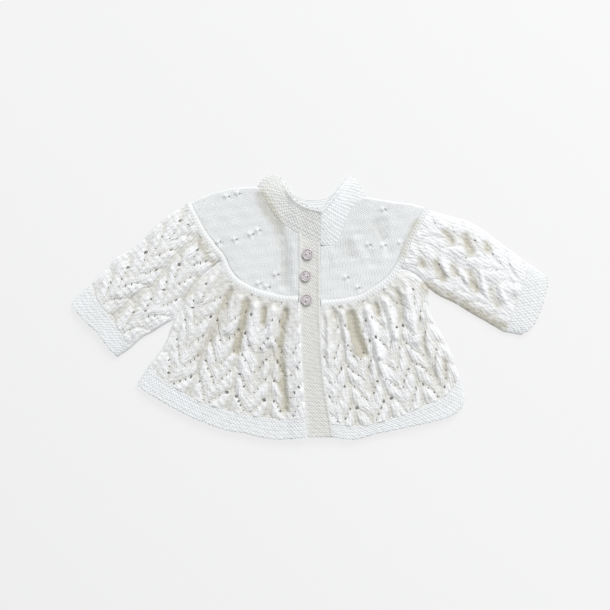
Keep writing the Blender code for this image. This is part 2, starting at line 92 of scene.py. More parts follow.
# ---- stitches ----
PLAIN_STITCH = 2.6      # width and height of a stitch of plain knitting, and the height of its relief
PLAIN_ROW = 2.3
PLAIN_RELIEF = 0.6
LEG = (0.12, 0.21, 0.17)        # where a stitch's leg starts, how far it spreads, and its half width
PLAIN_FAN = (0.0, 380.0)        # the plan point that the yoke's wales spread from
PLAIN_FAN_REACH = 330.0         # how far from it they are PLAIN_STITCH apart
GARTER_STITCH = 3.3     # width of a garter stitch and height of a ridge, and the height of their relief
GARTER_RIDGE = 3.85
GARTER_RELIEF = 0.6
WELT_RELIEF = 0.5
WELT_CROWN = 1.0        # how far the welt's crown stands over the cloth beside it
REPEAT_STITCHES = 10    # a repeat of the lace
REPEAT_ROWS = 8
CENTRE_STITCH = 5.5     # the spine of a lace repeat, in stitches from its start
HALF_REPEAT = REPEAT_STITCHES / 2
LACE_RELIEF = 0.38
LACE_LUMPS = (0.26, 3.8)        # depth and size of the lumps that uneven stitches leave on the lace
WALE_RISE = 0.2         # how far each column of lace stitches bulges
SPINE = (0.7, 0.5)      # height of a repeat's spine, and its half width in stitches
PUFF = 1.9              # how far the lace's leaves stand over its lines of eyelets
LEAF = (3.2, 1.9)       # where a leaf is fullest and its half width, in stitches aside of the spine
GATHERED_PUFF = 0.3     # share of it that is left where the skirt is gathered in
GATHERED_LACE = 0.38    # share of the skirt's length over which the lace opens out
SKIRT_LEAD = {"right": (1.3, 0.0), "left": (2.8, 0.0)}     # stitches and rows before the first repeat
SLEEVE_LEAD = (0.8, 3.2)
SKIRT_PINCH = 1.2       # how far the stitches draw in towards the spines, 1 for not at all
SLEEVE_PINCH = 2.2
SKIRT_DITCH = (1.0, 1.1)        # depth and half width, in stitches, of the sunk line between two repeats
SLEEVE_DITCH = {"right": (1.6, 1.2), "left": (0.7, 1.2)}
DITCH_FADE = 0.16       # share of a piece's width over which it fades out at the sides
# painted shade over whole pieces: it dulls the welt, and below 0 it lifts painted shade off the skirts and
# sleeves, most off the left sleeve, as painted light
PIECE_SHADE = {"right_skirt": -0.12, "left_skirt": -0.14, "right_sleeve": -0.18, "left_sleeve": -0.45,
               "welt": 0.1}
LACE_SHADE = (0.5, 0.9, 1.8)    # painted shade on lace at its lowest, its height where it is lit and has none, and the drop
GATHER_PITCH = 8.5      # the small pleats where the skirt is gathered in
GATHER_RELIEF = 0.5
GATHER_REACH = 11.0
SKIRT_TALL = 120.0      # about how long the skirt is
SKIRT_REPEATS = (4, 6)
SLEEVE_REPEATS = (2, 5)
EYELETS = (
    # stitches aside of the spine, row, half width in stitches, half height in rows
    (4.0, 1.0, 0.42, 0.70),
    (3.0, 3.0, 0.20, 0.62),
    (2.0, 5.0, 0.18, 0.62),
    (1.0, 7.0, 0.15, 0.45),
)
EYELET_SIZES = (0.3, 1.2)       # they come out uneven: shares of those sizes
EYELET_LEAN = 0.6       # and all but the outer ones lean along their line, in radians
SMALLEST_EYELET = 0.32  # half the smallest eyelet's width; narrower ones have drawn shut
SLEEVE_OUTER = {-1: 1.25, 1: 0.6}       # share of the outer eyelets' size above and below a sleeve's spines
SLEEVE_OPENING = {"right": 0.9, "left": 0.55}
SLEEVE_RELIEF = {"right": 1.0, "left": 0.68}    # share of the lace's relief on each sleeve
FOLD_CALM = 0.5         # share of the lace's leaves that the shaded folds pull flat
HEM_OPENING = 0.4       # how much larger a skirt's eyelets are above the hem
WALL_SHADE = 0.35       # painted shade on the cloth inside an eyelet
STITCH_BUMP = 0.0003    # depth in metres of the stitches that the backs have as bump
LACE_REPEAT_WIDE = 34.0         # a repeat of the back's lace, which isn't drawn in
LACE_REPEAT_TALL = 24.0
BACK_HOLLOW = 0.8       # how far the back's lace is sunk between its leaves
EYELET_WALL = 1.3       # depth of cloth that shows inside an eyelet
EYELET_DIP = 0.35       # how far the cloth dips at its rim, and how far out it is worked, in half sizes
EYELET_REACH = 1.6

# ---- outlines, each a few x, y points of a smooth line ----
OUTLINES = {
    "right": {
        "welt": ((-122, 103), (-109, 78), (-98, 62), (-88, 49), (-82, 36), (-72, 25), (-57, 17), (-42, 12),
                 (-27, 9), (-12, 7)),
        "shoulder": ((-52, 120), (-75, 119), (-100, 113)),
        "neck_seam": ((-52, 120), (-45, 107), (-35, 90), (-22, 79), (-11.8, 72.5)),
        "front_edge": ((-11.8, 72.5), (-11.8, 40), (-11.8, 11)),
        "skirt_front_edge": ((-11.8, 3), (-11, -45), (-8, -90), (-6.8, -111)),
        "underarm": ((-105, 34), (-120, 17), (-129, 2), (-135, -12)),
        "sleeve_upper": ((-139, 93), (-150, 85), (-161, 74), (-170, 65), (-181, 56), (-194, 49), (-202, 39),
                         (-211, 31), (-220, 22)),
        "sleeve_lower": ((-135, -12), (-146, -18), (-157, -25), (-168, -31), (-179, -41)),
        "cuff_line": ((-220, 22), (-210, 5), (-198, -11), (-187, -27), (-179, -41)),
        "cuff_end": ((-236, 8), (-236, 0), (-226, -13), (-213, -25), (-201, -41), (-192, -50)),
        "side": ((-135, -12), (-139, -22), (-144, -35), (-152, -47), (-162, -60)),
        "hem_line": ((-162, -60), (-148, -71), (-130, -83), (-108, -95), (-84, -103), (-60, -108),
                     (-34, -111), (-6.8, -111)),
        "hem_end": ((-173, -77), (-166, -83), (-153, -91), (-139, -99), (-120, -109), (-101, -117),
                    (-83, -123), (-64, -126), (-49, -130), (-31, -132), (-4.8, -130)),
        "collar_fold": ((-52, 120), (-48, 127), (-38, 131.5), (-27, 128)),
        "collar_seam": ((-52, 120), (-45, 107), (-35, 90), (-22, 79), (-10, 72.5), (0, 67.5), (10.5, 62)),
        "collar_free": ((-27, 128), (-19, 111), (-10, 103), (-1, 99), (10.5, 96)),
        "back_collar_half": ((-27, 128), (-19, 115), (-9, 108), (3, 106)),
        "back_neck_half": ((-52, 120), (-38, 100), (-20, 87), (1, 82)),
    },
    "left": {
        "welt": ((117, 98), (103, 73), (96, 58), (90, 43), (79, 28), (64, 17), (46, 8), (28, 5), (11, 4)),
        "shoulder": ((54, 110), (79, 106), (100, 103)),
        "neck_seam": ((54, 110), (42, 99), (35, 85), (31, 71), (24, 61.5), (10.8, 60.5)),
        "front_edge": ((10.8, 60.5), (10.8, 30), (10.8, 8)),
        "skirt_front_edge": ((10.8, 0), (13.2, -55), (17.8, -91), (22.2, -116)),
        "underarm": ((101, 35), (110, 28), (118, 19)),
        "sleeve_upper": ((139, 91), (154, 87), (165, 82), (176, 75), (191, 63), (204, 54), (218, 43)),
        "sleeve_lower": ((118, 19), (129, 11), (144, 4), (157, -4), (176, -15), (193, -25)),
        "cuff_line": ((218, 43), (212, 22), (203, -3), (193, -25)),
        "cuff_end": ((232, 34), (237, 26), (233, 8), (228, -8), (220, -21), (210, -28)),
        "side": ((118, 19), (119, 5), (121, -8), (128, -22), (135, -33), (143, -50), (149, -68)),
        "hem_line": ((149, -68), (142, -81), (130, -91), (112, -99), (92, -108), (72, -114), (56, -118),
                     (40, -118), (22.2, -116)),
        "hem_end": ((154, -86), (153, -97), (142, -108), (120, -115), (101, -119), (83, -123), (64, -127),
                    (46, -132), (25, -130)),
        "collar_fold": ((54, 110), (52, 117), (46, 126), (41, 130), (37, 129)),
        "collar_seam": ((54, 110), (42, 99), (35, 85), (31, 71), (24, 61.5), (11, 62.2), (-8, 72)),
        "collar_free": ((37, 129), (26, 114), (18, 104), (10, 96), (1, 96), (-8, 99)),
        "back_collar_half": ((37, 129), (27, 118), (18, 109), (3, 106)),
        "back_neck_half": ((54, 110), (38, 97), (20, 85), (1, 82)),
    },
}
BUTTONHOLE_BAND = {
    "left": ((-11.5, 72), (-11.5, 20), (-11, -45), (-7.7, -90), (-4.5, -129)),
    "right": ((10.5, 61.5), (10.5, 0), (13, -55), (17.5, -91), (24, -129)),
}
BUTTON_BAND = {
    "left": ((-9, 70), (-9, 0), (-8, -50), (-4, -95), (-1, -127)),
    "right": ((10.5, 60.5), (10.5, 0), (12.8, -55), (17.3, -91), (22.5, -127)),
}

# ---- folds: soft ridges (rise > 0) and troughs (rise < 0) along short lines, and the painted warm shade in them ----
FOLDS = (
    # points of the line, half width, rise, painted shade (below 0 a painted highlight)
    (((-96, 32), (-112, 2)), 6.0, 2.2, 0.0),
    (((-77, 22), (-90, -12), (-103, -43)), 5.0, -2.6, 0.5),
    (((-68, 14), (-76, -8), (-84, -30)), 6.0, 2.6, -0.2),
    (((-62, 11), (-69, -20), (-76, -50)), 5.0, -2.6, 1.1),
    (((-53, 7), (-57, -15), (-61, -40)), 6.5, 4.0, -0.4),
    (((-45, 4), (-48, -22)), 4.0, -2.4, 0.9),
    (((-34, 2), (-38, -18), (-40, -42)), 6.5, 4.0, -0.4),
    (((-23, 2), (-30, -36), (-27, -76), (-24, -108)), 5.5, -2.8, 0.85),
    (((18, -2), (18, -30), (20, -62)), 5.0, 2.4, 0.0),
    (((25, 0), (24, -16)), 3.5, -2.2, 0.5),
    (((31, 0), (34, -20), (38, -44)), 5.0, 3.2, -0.3),
    (((39, -1), (46, -28), (56, -52)), 6.0, -2.8, 1.5),
    (((55, 3), (61, -20), (70, -55)), 7.0, 4.6, -0.6),
    (((64, 8), (69, -13)), 4.0, -2.4, 0.6),
    (((74, 12), (80, -10), (86, -36)), 6.0, 3.4, -0.4),
    (((85, 22), (90, 2), (93, -18)), 4.5, -2.4, 0.5),
    (((96, 20), (100, -6), (106, -40)), 7.0, 3.2, -0.3),
    (((110, -8), (114, -43), (130, -84)), 5.0, -2.2, 0.4),
    (((133, -48), (137, -80)), 4.0, -1.8, 0.5),
    (((-27, 77), (-27, 15)), 6.0, -1.0, 0.25),
    (((46, 77), (65, 37)), 8.0, -1.0, 0.0),
    (((70, 92), (80, 47)), 8.0, -1.0, 0.0),
    (((-140, 62), (-166, 34), (-196, 8)), 14.0, 1.4, 0.0),
    (((138, 62), (168, 44), (206, 10)), 14.0, 1.4, 0.0),
)
CREASES = (
    # the smaller creases, which only the sheets have, and painted shade along seams, in the same columns
    (((131, 80), (145, 60)), 5.5, -1.1, 1.0),
    (((152, 78), (158, 60), (166, 50)), 6.0, -1.2, 1.1),
    (((122, 50), (129, 34), (139, 24)), 6.0, -1.2, 0.95),
    (((155, 40), (162, 24), (170, 11)), 6.0, -1.2, 0.95),
    (((139, 46), (147, 27)), 5.0, -1.0, 0.8),
    (((177, 22), (183, 8), (190, -4)), 5.0, -1.0, 0.7),
    (((168, 40), (174, 12)), 4.0, 2.2, -0.2),
    (((152, 37), (157, 20)), 4.0, 1.6, -0.2),
    (((131, 47), (137, 29)), 4.0, 1.6, -0.2),
    (((186, 24), (196, 2)), 4.0, 1.8, -0.2),
    (((203, 32), (206, 8)), 4.0, 1.2, -0.1),
    (((170, 68), (181, 51)), 5.5, -1.0, 0.9),
    (((106, 52), (116, 36)), 5.0, -1.2, 0.9),
    (((112, 28), (120, 18), (146, 5), (176, -12), (198, -24)), 8.0, 0.0, 1.2),
    (((-63, -42), (-70, -72)), 6.0, 2.4, -0.3),
    (((68, -46), (76, -78)), 6.0, 2.2, -0.4),
    (((-106, -30), (-116, -62)), 5.0, -1.6, 0.3),
    (((-48, -40), (-52, -78)), 5.0, -1.6, 0.3),
    (((58, -54), (62, -90)), 5.0, -1.4, 0.3),
    (((42, -10), (45, -28), (51, -52)), 6.5, 0.0, 0.8),
    (((-17, 66), (-17, 14)), 4.5, 0.8, 0.0),
    (((-30, 76), (-27, 50), (-26, 18)), 8.0, -0.5, 0.2),
    (((36, 70), (43, 45)), 7.0, -0.9, 0.4),
    (((46, 74), (58, 44)), 8.5, 1.0, 0.0),
    (((62, 88), (76, 64)), 6.5, -0.8, 0.4),
    (((22, 60), (24, 38)), 5.0, 0.7, 0.0),
    (((78, 70), (70, 40)), 6.0, 0.7, 0.0),
    (((-52, 118), (-43, 99), (-35, 86), (-27, 72)), 6.5, -0.5, 1.3),
    (((-105, 34), (-120, 17), (-129, 2)), 5.0, 0.0, 0.5),
    (((-112, 72), (-103, 52), (-92, 38)), 5.0, 0.0, 0.6),
    (((109, 90), (99, 70), (90, 46)), 4.5, -0.4, 0.6),
)
FOLD_FADE = 7.0         # length over which a fold rises at its ends
TROUGH_SHADE_REACH = 1.45      # width of a trough's painted warm shade beside the trough itself
FOLD_SHADE = 0.8        # how much painted shade a shade of 1 gives

# ---- small eyelets of the yoke's increases: x, y ----
YOKE_EYELETS = {
    "right": ((-81, 110), (-70, 113), (-89, 64), (-73, 67), (-57, 72), (-50, 76), (-41, 20), (-49, 23),
              (-32, 32)),
    "left": ((75, 97), (60, 62), (75, 61), (92, 64), (38, 29), (50, 19)),
}
YOKE_EYELET_SIZE = (0.65, 0.95)         # half width and height
YOKE_EYELET_LUMPS = (
    # height, x and y from the eyelet, and spread of the puffed stitch and the dip beside it
    (1.5, -3.2, 0.5, 5.0),
    (-0.7, 0.6, -1.2, 4.0),
)

# ---- buttons ----
BUTTONS = (
    # node, x, y, turn of the holes in degrees
    ("button_top", -2.4, 52.6, 20.0),
    ("button_middle", -4.4, 31.0, -35.0),
    ("button_bottom", -3.4, 7.4, 65.0),
)
BUTTON_HOLE_RADIUS = 0.8
BUTTON_HOLE_SPREAD = 1.9        # from the button's middle to a hole's
BUTTON_PROFILE = (
    # radius and height of the turned shape, from the middle of its back to the middle of its face
    (0, 0), (4.3, 0), (5.1, 0.35), (5.5, 1.0), (5.6, 1.6), (5.5, 2.1), (5.15, 2.5), (4.75, 2.6), (4.45, 2.45),
    (4.25, 1.9), (4.05, 1.5), (3.85, 1.7), (3.6, 1.95), (3.2, 2.05), (0, 1.9),
)
THREAD_RADIUS = 0.16
THREAD_GAP = 0.26       # between the passes of thread in a hole's middle
THREAD_CROWN = 2.3      # height of the bar of thread, and how far it goes down at its ends
THREAD_DOWN = 1.6
THREAD_REACH = 0.9      # share of the way to the holes' middles

# ---- camera and light ----
LENS = 85.0
SENSOR = 36.0
FRAME_WIDTH = 0.610     # metres of the surface across the picture
LOOK_AT = (-5.0, 2.0)   # plan point in the middle of the picture, millimetres
LAMP_PLACE = (1.2, 2.6, 2.5)
LAMP_SIZE = 2.2
LAMP_POWER = 128.0
WORLD_LIGHT = 0.55
FLOOR_GLOW = 0.773      # the pale surface's own glow, painted light, and how fast it grows along x and y, a metre
FLOOR_SLOPE = (0.055, 0.045)

# ---- wool ----
KNITS = {
    # slot, colour where it is lit, colour of painted shade where it is sunk, and how much painted shade it
    # has between its stitches
    "plain": ("wool", (0.955, 0.97, 0.985), (0.69, 0.685, 0.645), 0.5),
    "lace": ("wool", (0.97, 0.975, 0.985), (0.63, 0.60, 0.505), 0.3),
    "garter": ("trim_wool", (0.94, 0.96, 0.985), (0.72, 0.70, 0.62), 0.36),
}
SEEN_THROUGH = 0.18     # share of the light that the knitting lets through

# ---- density of the sheets: millimetres between points, or cells across and down ----
FINE = 0.47
YOKE_FINE = 0.5
HALF_HIDDEN = 1.2
COARSE = 1.7
SKIRT_CELLS = (292, 256)
SLEEVE_CELLS = (150, 260)


# ================================================================ lines in the plan

def smooth_line(points, pieces=16):
    """A dense smooth line through the points, each stretch a Catmull-Rom cubic."""
    knots = np.array(points, float)
    padded = np.vstack([2 * knots[0] - knots[1], knots, 2 * knots[-1] - knots[-2]])
    t = np.linspace(0, 1, pieces, endpoint=False)[:, None]
    stretches = []
    for a, b, c, d in zip(padded, padded[1:], padded[2:], padded[3:]):
        stretches.append(0.5 * (2 * b + (c - a) * t + (2 * a - 5 * b + 4 * c - d) * t ** 2
                                + (3 * b - a - 3 * c + d) * t ** 3))
    return np.vstack(stretches + [knots[-1:]])


def joined(*lines):
    """One line out of several that meet end to start."""
    return np.vstack([lines[0]] + [line[1:] for line in lines[1:]])


def travelled(line):
    """Share of a line's length at each of its points."""
    run = np.concatenate([[0.0], np.cumsum(np.hypot(*np.diff(line, axis=0).T))])
    return run / run[-1]


def length(line):
    return float(np.hypot(*np.diff(line, axis=0).T).sum())


def at(line, shares):
    """Points of a line at the given shares of its length."""
    run = travelled(line)
    return np.stack([np.interp(shares, run, line[:, k]) for k in (0, 1)], axis=-1)


def mean_size(edges):
    """Mean width and length of a piece."""
    return [(length(edges[a]) + length(edges[b])) / 2 for a, b in (("top", "bottom"), ("first", "last"))]


def stretch(line, start, end):
    """The part of a line between two shares of its length."""
    run = travelled(line)
    inner = line[(run > start) & (run < end)]
    return np.vstack([at(line, [start]), inner, at(line, [end])])


def beside(line, distance):
    """The line moved sideways, to its left when the distance is positive."""
    tangent = np.gradient(line, axis=0)
    tangent /= np.hypot(tangent[:, 0], tangent[:, 1])[:, None]
    return line + distance * np.stack([-tangent[:, 1], tangent[:, 0]], axis=1)


def nearest(line, x, y):
    """Distance from each point to a line, and how far along it the nearest place lies."""
    best = np.full(np.shape(x), np.inf)
    along = np.zeros(np.shape(x))
    run = 0.0
    for a, b in zip(line, line[1:]):
        step = b - a
        span = float(np.hypot(*step))
        share = np.clip(((x - a[0]) * step[0] + (y - a[1]) * step[1]) / span ** 2, 0, 1)
        gap = np.hypot(x - a[0] - share * step[0], y - a[1] - share * step[1])
        closer = gap < best
        best = np.where(closer, gap, best)
        along = np.where(closer, run + share * span, along)
        run += span
    return best, along


def distance_to(lines, x, y):
    """Distance from each point to the nearest of the lines."""
    return np.min([nearest(line, x, y)[0] for line in lines], axis=0)


def eased(value):
    """0 below 0, 1 above 1, and a smooth step between."""
    value = np.clip(value, 0, 1)
    return value * value * (3 - 2 * value)


# ================================================================ edges of the pieces

def side_edges(side):
    """All the lines of one front half, with corners that meet."""
    outlines = OUTLINES[side]
    table = {name: smooth_line(points) for name, points in outlines.items()}
    outward = -1 if side == "right" else 1
    inner, outer = (beside(table["welt"], way * outward * WELT_HALF) for way in (-1, 1))
    armhole = stretch(outer, 0, ARMHOLE_SHARE)
    underarm = smooth_line((tuple(armhole[-1]), *outlines["underarm"]))
    cuff_line, cuff_end, hem_line, hem_end = (table[name] for name in
                                              ("cuff_line", "cuff_end", "hem_line", "hem_end"))
    table.update({
        "welt_inner": inner,
        "welt_outer": outer,
        "armhole": armhole,
        "gathers": stretch(outer, ARMHOLE_SHARE, 1),
        "shoulder": smooth_line((*outlines["shoulder"], tuple(inner[0]))),
        "sleeve_upper": smooth_line((tuple(armhole[0]), *outlines["sleeve_upper"])),
        "sleeve_lower": joined(underarm, table["sleeve_lower"]),
        "side": joined(underarm, table["side"]),
        "cuff_upper": np.array([cuff_line[0], cuff_end[0]]),
        "cuff_lower": np.array([cuff_line[-1], cuff_end[-1]]),
        "hem_side": np.array([hem_line[0], hem_end[0]]),
        "hem_front": np.array([hem_line[-1], hem_end[-1]]),
    })
    return table


EDGES = {side: side_edges(side) for side in OUTLINES}
SIDE_NAMES = ("shoulder", "sleeve_upper", "sleeve_lower", "side", "cuff_upper", "cuff_lower", "hem_side")
SIDE_SEAMS = [half[name][::4 if len(half[name]) > 8 else 1] for half in EDGES.values() for name in SIDE_NAMES]
UNDERARMS = [half["underarm"][::4] for half in EDGES.values()]
FOLD_LINES = [(smooth_line(points, 6), *values) for points, *values in FOLDS + CREASES]
ALL_LINES = np.vstack([line for edges in EDGES.values() for line in edges.values()])
PLAN_MIDDLE = (ALL_LINES.min(axis=0) + ALL_LINES.max(axis=0)) / 2      # the frame's origin


# ================================================================ heights

def beside_fold(line, half, x, y):
    """1 on a fold's line, and 0 half a width away and at its ends."""
    gap, along = nearest(line, x, y)
    across = np.cos(np.clip(gap / half, 0, 1) * math.pi / 2) ** 2
    return across * eased(along / FOLD_FADE) * eased((length(line) - along) / FOLD_FADE)


def warm_shade(x, y):
    """How deep in painted warm shade each point lies, 0 for lit and 1 for a fold's bottom, below 0 for a
    painted highlight on a ridge, in uneven patches.
    """
    shades = [shade * beside_fold(line, half * TROUGH_SHADE_REACH, x, y)
              for line, half, _, shade in FOLD_LINES if shade]
    return np.sum(shades, axis=0) * (1 + 0.35 * ripple(x, y, 11.0, 21) + 0.35 * ripple(x, y, 4.5, 23))


def inner_height(x, y, edge, loft, lap):
    """Height of the front cloth's inner face: loft, folds, and the lap of the right front."""
    height = LAYER + loft * (1 - np.exp(-edge / LOFT_REACH * 2))
    swell = eased(edge / LOFT_REACH)
    for line, half, rise, _ in FOLD_LINES:
        if rise:
            height = height + rise * beside_fold(line, half, x, y) * swell
    if lap:
        height = height + LAYER * eased((x - BAND_LEFT_X + LAP_RUN) / LAP_RUN)
    return np.maximum(height, LAYER)


# ================================================================ stitches: relief in millimetres

def ripple(x, y, scale, seed):
    """A smooth, irregular field from -1 to 1 that changes over the given length."""
    value = 0.0
    for k in range(4):
        angle = seed * 1.7 + k * 2.4
        wave = 2 * math.pi / (scale * (0.8 + 0.35 * k))
        value = value + np.sin(wave * (x * math.cos(angle) + y * math.sin(angle)) + seed * (k + 1) * 3.1)
    return value / 4


def strand(offset):
    """Height of a round strand over its own width, from 1 in its middle to 0 at its sides."""
    return np.sqrt(np.clip(1 - offset ** 2, 0, 1))


def plain(stitch, row, broken):
    """The two spreading legs of each plain stitch, from 0 to 1. broken is how far they part at each row."""
    start, spread, half = LEG
    rise = row % 1.0
    leg = strand((np.abs(stitch % 1.0 - 0.5) - start - spread * rise) / half)
    return leg * (1 - broken + broken * np.sin(math.pi * rise))


def garter(stitch, ridge):
    """Two interlocking lines of purl bumps on each ridge, from 0 to 1."""
    place = ridge % 1.0
    swing = np.cos(2 * math.pi * stitch)
    upper = strand((place - 0.30 - 0.12 * swing) / 0.24) * (0.6 + 0.4 * swing)
    lower = strand((place - 0.72 + 0.12 * swing) / 0.24) * (0.6 - 0.4 * swing)
    return np.maximum(upper, lower)


def spine_of(stitch):
    """The spine of the repeat that each stitch belongs to."""
    return np.floor((stitch - CENTRE_STITCH) / REPEAT_STITCHES + 0.5) * REPEAT_STITCHES + CENTRE_STITCH


def drawn_in(stitch, pinch):
    """Where stitches lie, counted in even stitches, once each repeat has drawn in towards its spine."""
    spine = spine_of(stitch)
    share = np.abs(stitch - spine) / HALF_REPEAT
    return spine + np.sign(stitch - spine) * HALF_REPEAT * (1 - (1 - share) ** (1 / pinch))


def lace(even, row, pinch, ditch, inside):
    """Horseshoe lace: its puffed leaves, spines and sunk lines in millimetres, and its slanting wales."""
    wide = np.abs(even - spine_of(even))
    aside = HALF_REPEAT * (1 - (1 - wide / HALF_REPEAT) ** pinch)
    local = (row - 1) % REPEAT_ROWS
    start = 9 - 2 * aside
    phase = ((row - start) / REPEAT_ROWS) % 1.0
    full, half_leaf = LEAF
    leaf = 0.35 + 0.65 * np.exp(-((wide - full) / half_leaf) ** 2)
    puff = PUFF * leaf * np.sin(math.pi * phase ** 0.65)
    leans = aside < 4 - local / 2 + 0.25
    wale = np.where(leans, aside + local / 2, wide) + 0.5
    column = -WALE_RISE * np.cos(2 * math.pi * wale)
    spine = SPINE[0] * np.exp(-(wide / SPINE[1]) ** 2)
    depth, half = ditch
    sunk = -depth * np.exp(-((wide - HALF_REPEAT) / half) ** 2) * inside
    return puff + column + spine + sunk, wale


def within(u):
    """0 at a piece's sides, and 1 from DITCH_FADE of its width inwards."""
    return eased(np.minimum(u, 1 - u) / DITCH_FADE)


def stray(x, y):
    """How many stitches and rows hand-knitted lace wanders off its even lattice."""
    return (0.55 * ripple(x, y, 21.0, 2) + 0.16 * ripple(x, y, 6.5, 15),
            0.6 * ripple(x, y, 24.0, 4) + 0.16 * ripple(x, y, 7.5, 16))


# ================================================================ sheets

def sides(top, bottom, first, last):
    return {"top": top, "bottom": bottom, "first": first, "last": last}


def between(half, *names):
    """The sides of a piece that lies between four named lines of one half."""
    return sides(*(half[name] for name in names))


def patch(edges, u, v):
    """Plan points between four edges: u runs along top and bottom, v along first and last."""
    top, bottom, first, last = (edges[name] for name in ("top", "bottom", "first", "last"))
    u_grid = u[None, :, None]
    v_grid = v[:, None, None]
    ruled_down = (1 - v_grid) * at(top, u)[None] + v_grid * at(bottom, u)[None]
    ruled_across = (1 - u_grid) * at(first, v)[:, None] + u_grid * at(last, v)[:, None]
    corners = ((1 - u_grid) * (1 - v_grid) * top[0] + u_grid * (1 - v_grid) * top[-1]
               + (1 - u_grid) * v_grid * bottom[0] + u_grid * v_grid * bottom[-1])
    return ruled_down + ruled_across - corners


def sheet_grid(edges, spacing, counts=None):
    """Shares u and v, and the plan points of a grid that is as dense as the spacing, or has the counts."""
    across = max(length(edges["top"]), length(edges["bottom"]))
    down = max(length(edges["first"]), length(edges["last"]))
    across, down = counts or (max(4, int(across / spacing)), max(4, int(down / spacing)))
    u, v = np.linspace(0, 1, across + 1), np.linspace(0, 1, down + 1)
    return u, v, patch(edges, u, v)


def cut_of(edges):
    """Width, length and area of the cut, as the sheet lies between its edges."""
    u = np.linspace(0, 1, 41)
    plan = patch(edges, u, u)
    wide = max(length(line) for line in plan)
    tall = max(length(line) for line in plan.transpose(1, 0, 2))
    a, b = plan[1:, 1:] - plan[:-1, :-1], plan[1:, :-1] - plan[:-1, 1:]
    area = float(np.abs(a[..., 0] * b[..., 1] - a[..., 1] * b[..., 0]).sum() / 2)
    return wide, tall, min(max(area, 0.31 * wide * tall), wide * tall)


def cells(rows, columns):
    """The numbers of a grid's points, and its cells as quads that face up."""
    index = np.arange(rows * columns).reshape(rows, columns)
    return index, np.stack([index[:-1, :-1], index[1:, :-1], index[1:, 1:], index[:-1, 1:]], axis=-1)


def corners_of(grid):
    """The four values round each cell of a grid."""
    return np.stack([grid[1:, 1:], grid[1:, :-1], grid[:-1, 1:], grid[:-1, :-1]])


def round_off(distance, radius):
    """How far a rounded edge has dropped at each distance from it."""
    share = np.clip(1 - distance / radius, 0, 1)
    return radius * (1 - np.sqrt(1 - share ** 2))


def link(name, data):
    thing = bpy.data.objects.new(name, data)
    bpy.context.scene.collection.objects.link(thing)
    return thing


def knit_mesh(name, points, quads, painted_shade, lattice):
    """A mesh of the points that the quads use, with painted shade at each point, darker as far as it is sunk,
    and lattice its stitch and row numbers, which become the UV map."""
    used, corners = np.unique(quads, return_inverse=True)
    corners = corners.reshape(quads.shape)
    place = points[used]
    place[:, :2] -= PLAN_MIDDLE
    data = bpy.data.meshes.new(name)
    data.from_pydata((place * MM).tolist(), [], corners.tolist())
    data.validate()
    field = data.attributes.new("painted_shade", "FLOAT", "POINT")
    field.data.foreach_set("value", painted_shade[used].astype(np.float32))
    layer = data.uv_layers.new(name="lattice")
    layer.data.foreach_set("uv", lattice[quads.ravel()].astype(np.float32).ravel())
    data.shade_smooth()
    return link(name, data)


def cut_eyelets(plan, top, eyelets):
    """Snaps the points round each eyelet onto its rim and says which cells it removes. An eyelet is a grid
    place (column and row as shares of the grid), its two half sizes and its lean."""
    rows, columns = top.shape
    gone = np.zeros((rows - 1, columns - 1), bool)
    for column, row, half_x, half_y, lean in eyelets:
        i, j = int(round(row * (rows - 1))), int(round(column * (columns - 1)))
        if not (3 < i < rows - 4 and 3 < j < columns - 4):
            continue
        centre = plan[i, j]
        across = plan[i, j + 1] - plan[i, j - 1]
        pitch_x = np.hypot(*across) / 2
        pitch_y = np.hypot(*(plan[i + 1, j] - plan[i - 1, j])) / 2
        across = across / np.hypot(*across)
        across = math.cos(lean) * across + math.sin(lean) * np.array([-across[1], across[0]])
        down = np.array([-across[1], across[0]])
        reach = EYELET_REACH * max(half_x, half_y)
        reach_i, reach_j = int(reach / pitch_y) + 2, int(reach / pitch_x) + 2
        i1, i2 = max(0, i - reach_i), min(rows, i + reach_i + 1)
        j1, j2 = max(0, j - reach_j), min(columns, j + reach_j + 1)
        window = plan[i1:i2, j1:j2] - centre
        ratio = np.hypot(window @ across / half_x, window @ down / half_y)
        inside = corners_of(ratio).mean(axis=0) < 0.9
        gone[i1:i2 - 1, j1:j2 - 1] |= inside
        beside_cells = corners_of(np.pad(inside, 1))
        rim = beside_cells.any(axis=0) & ~beside_cells.all(axis=0) & (ratio > 0.05)
        plan[i1:i2, j1:j2] = centre + window * np.where(rim, 1 / np.maximum(ratio, 0.05), 1.0)[..., None]
        top[i1:i2, j1:j2] -= EYELET_DIP * np.exp(-((ratio - 1).clip(0) / 0.5) ** 2)
    return gone


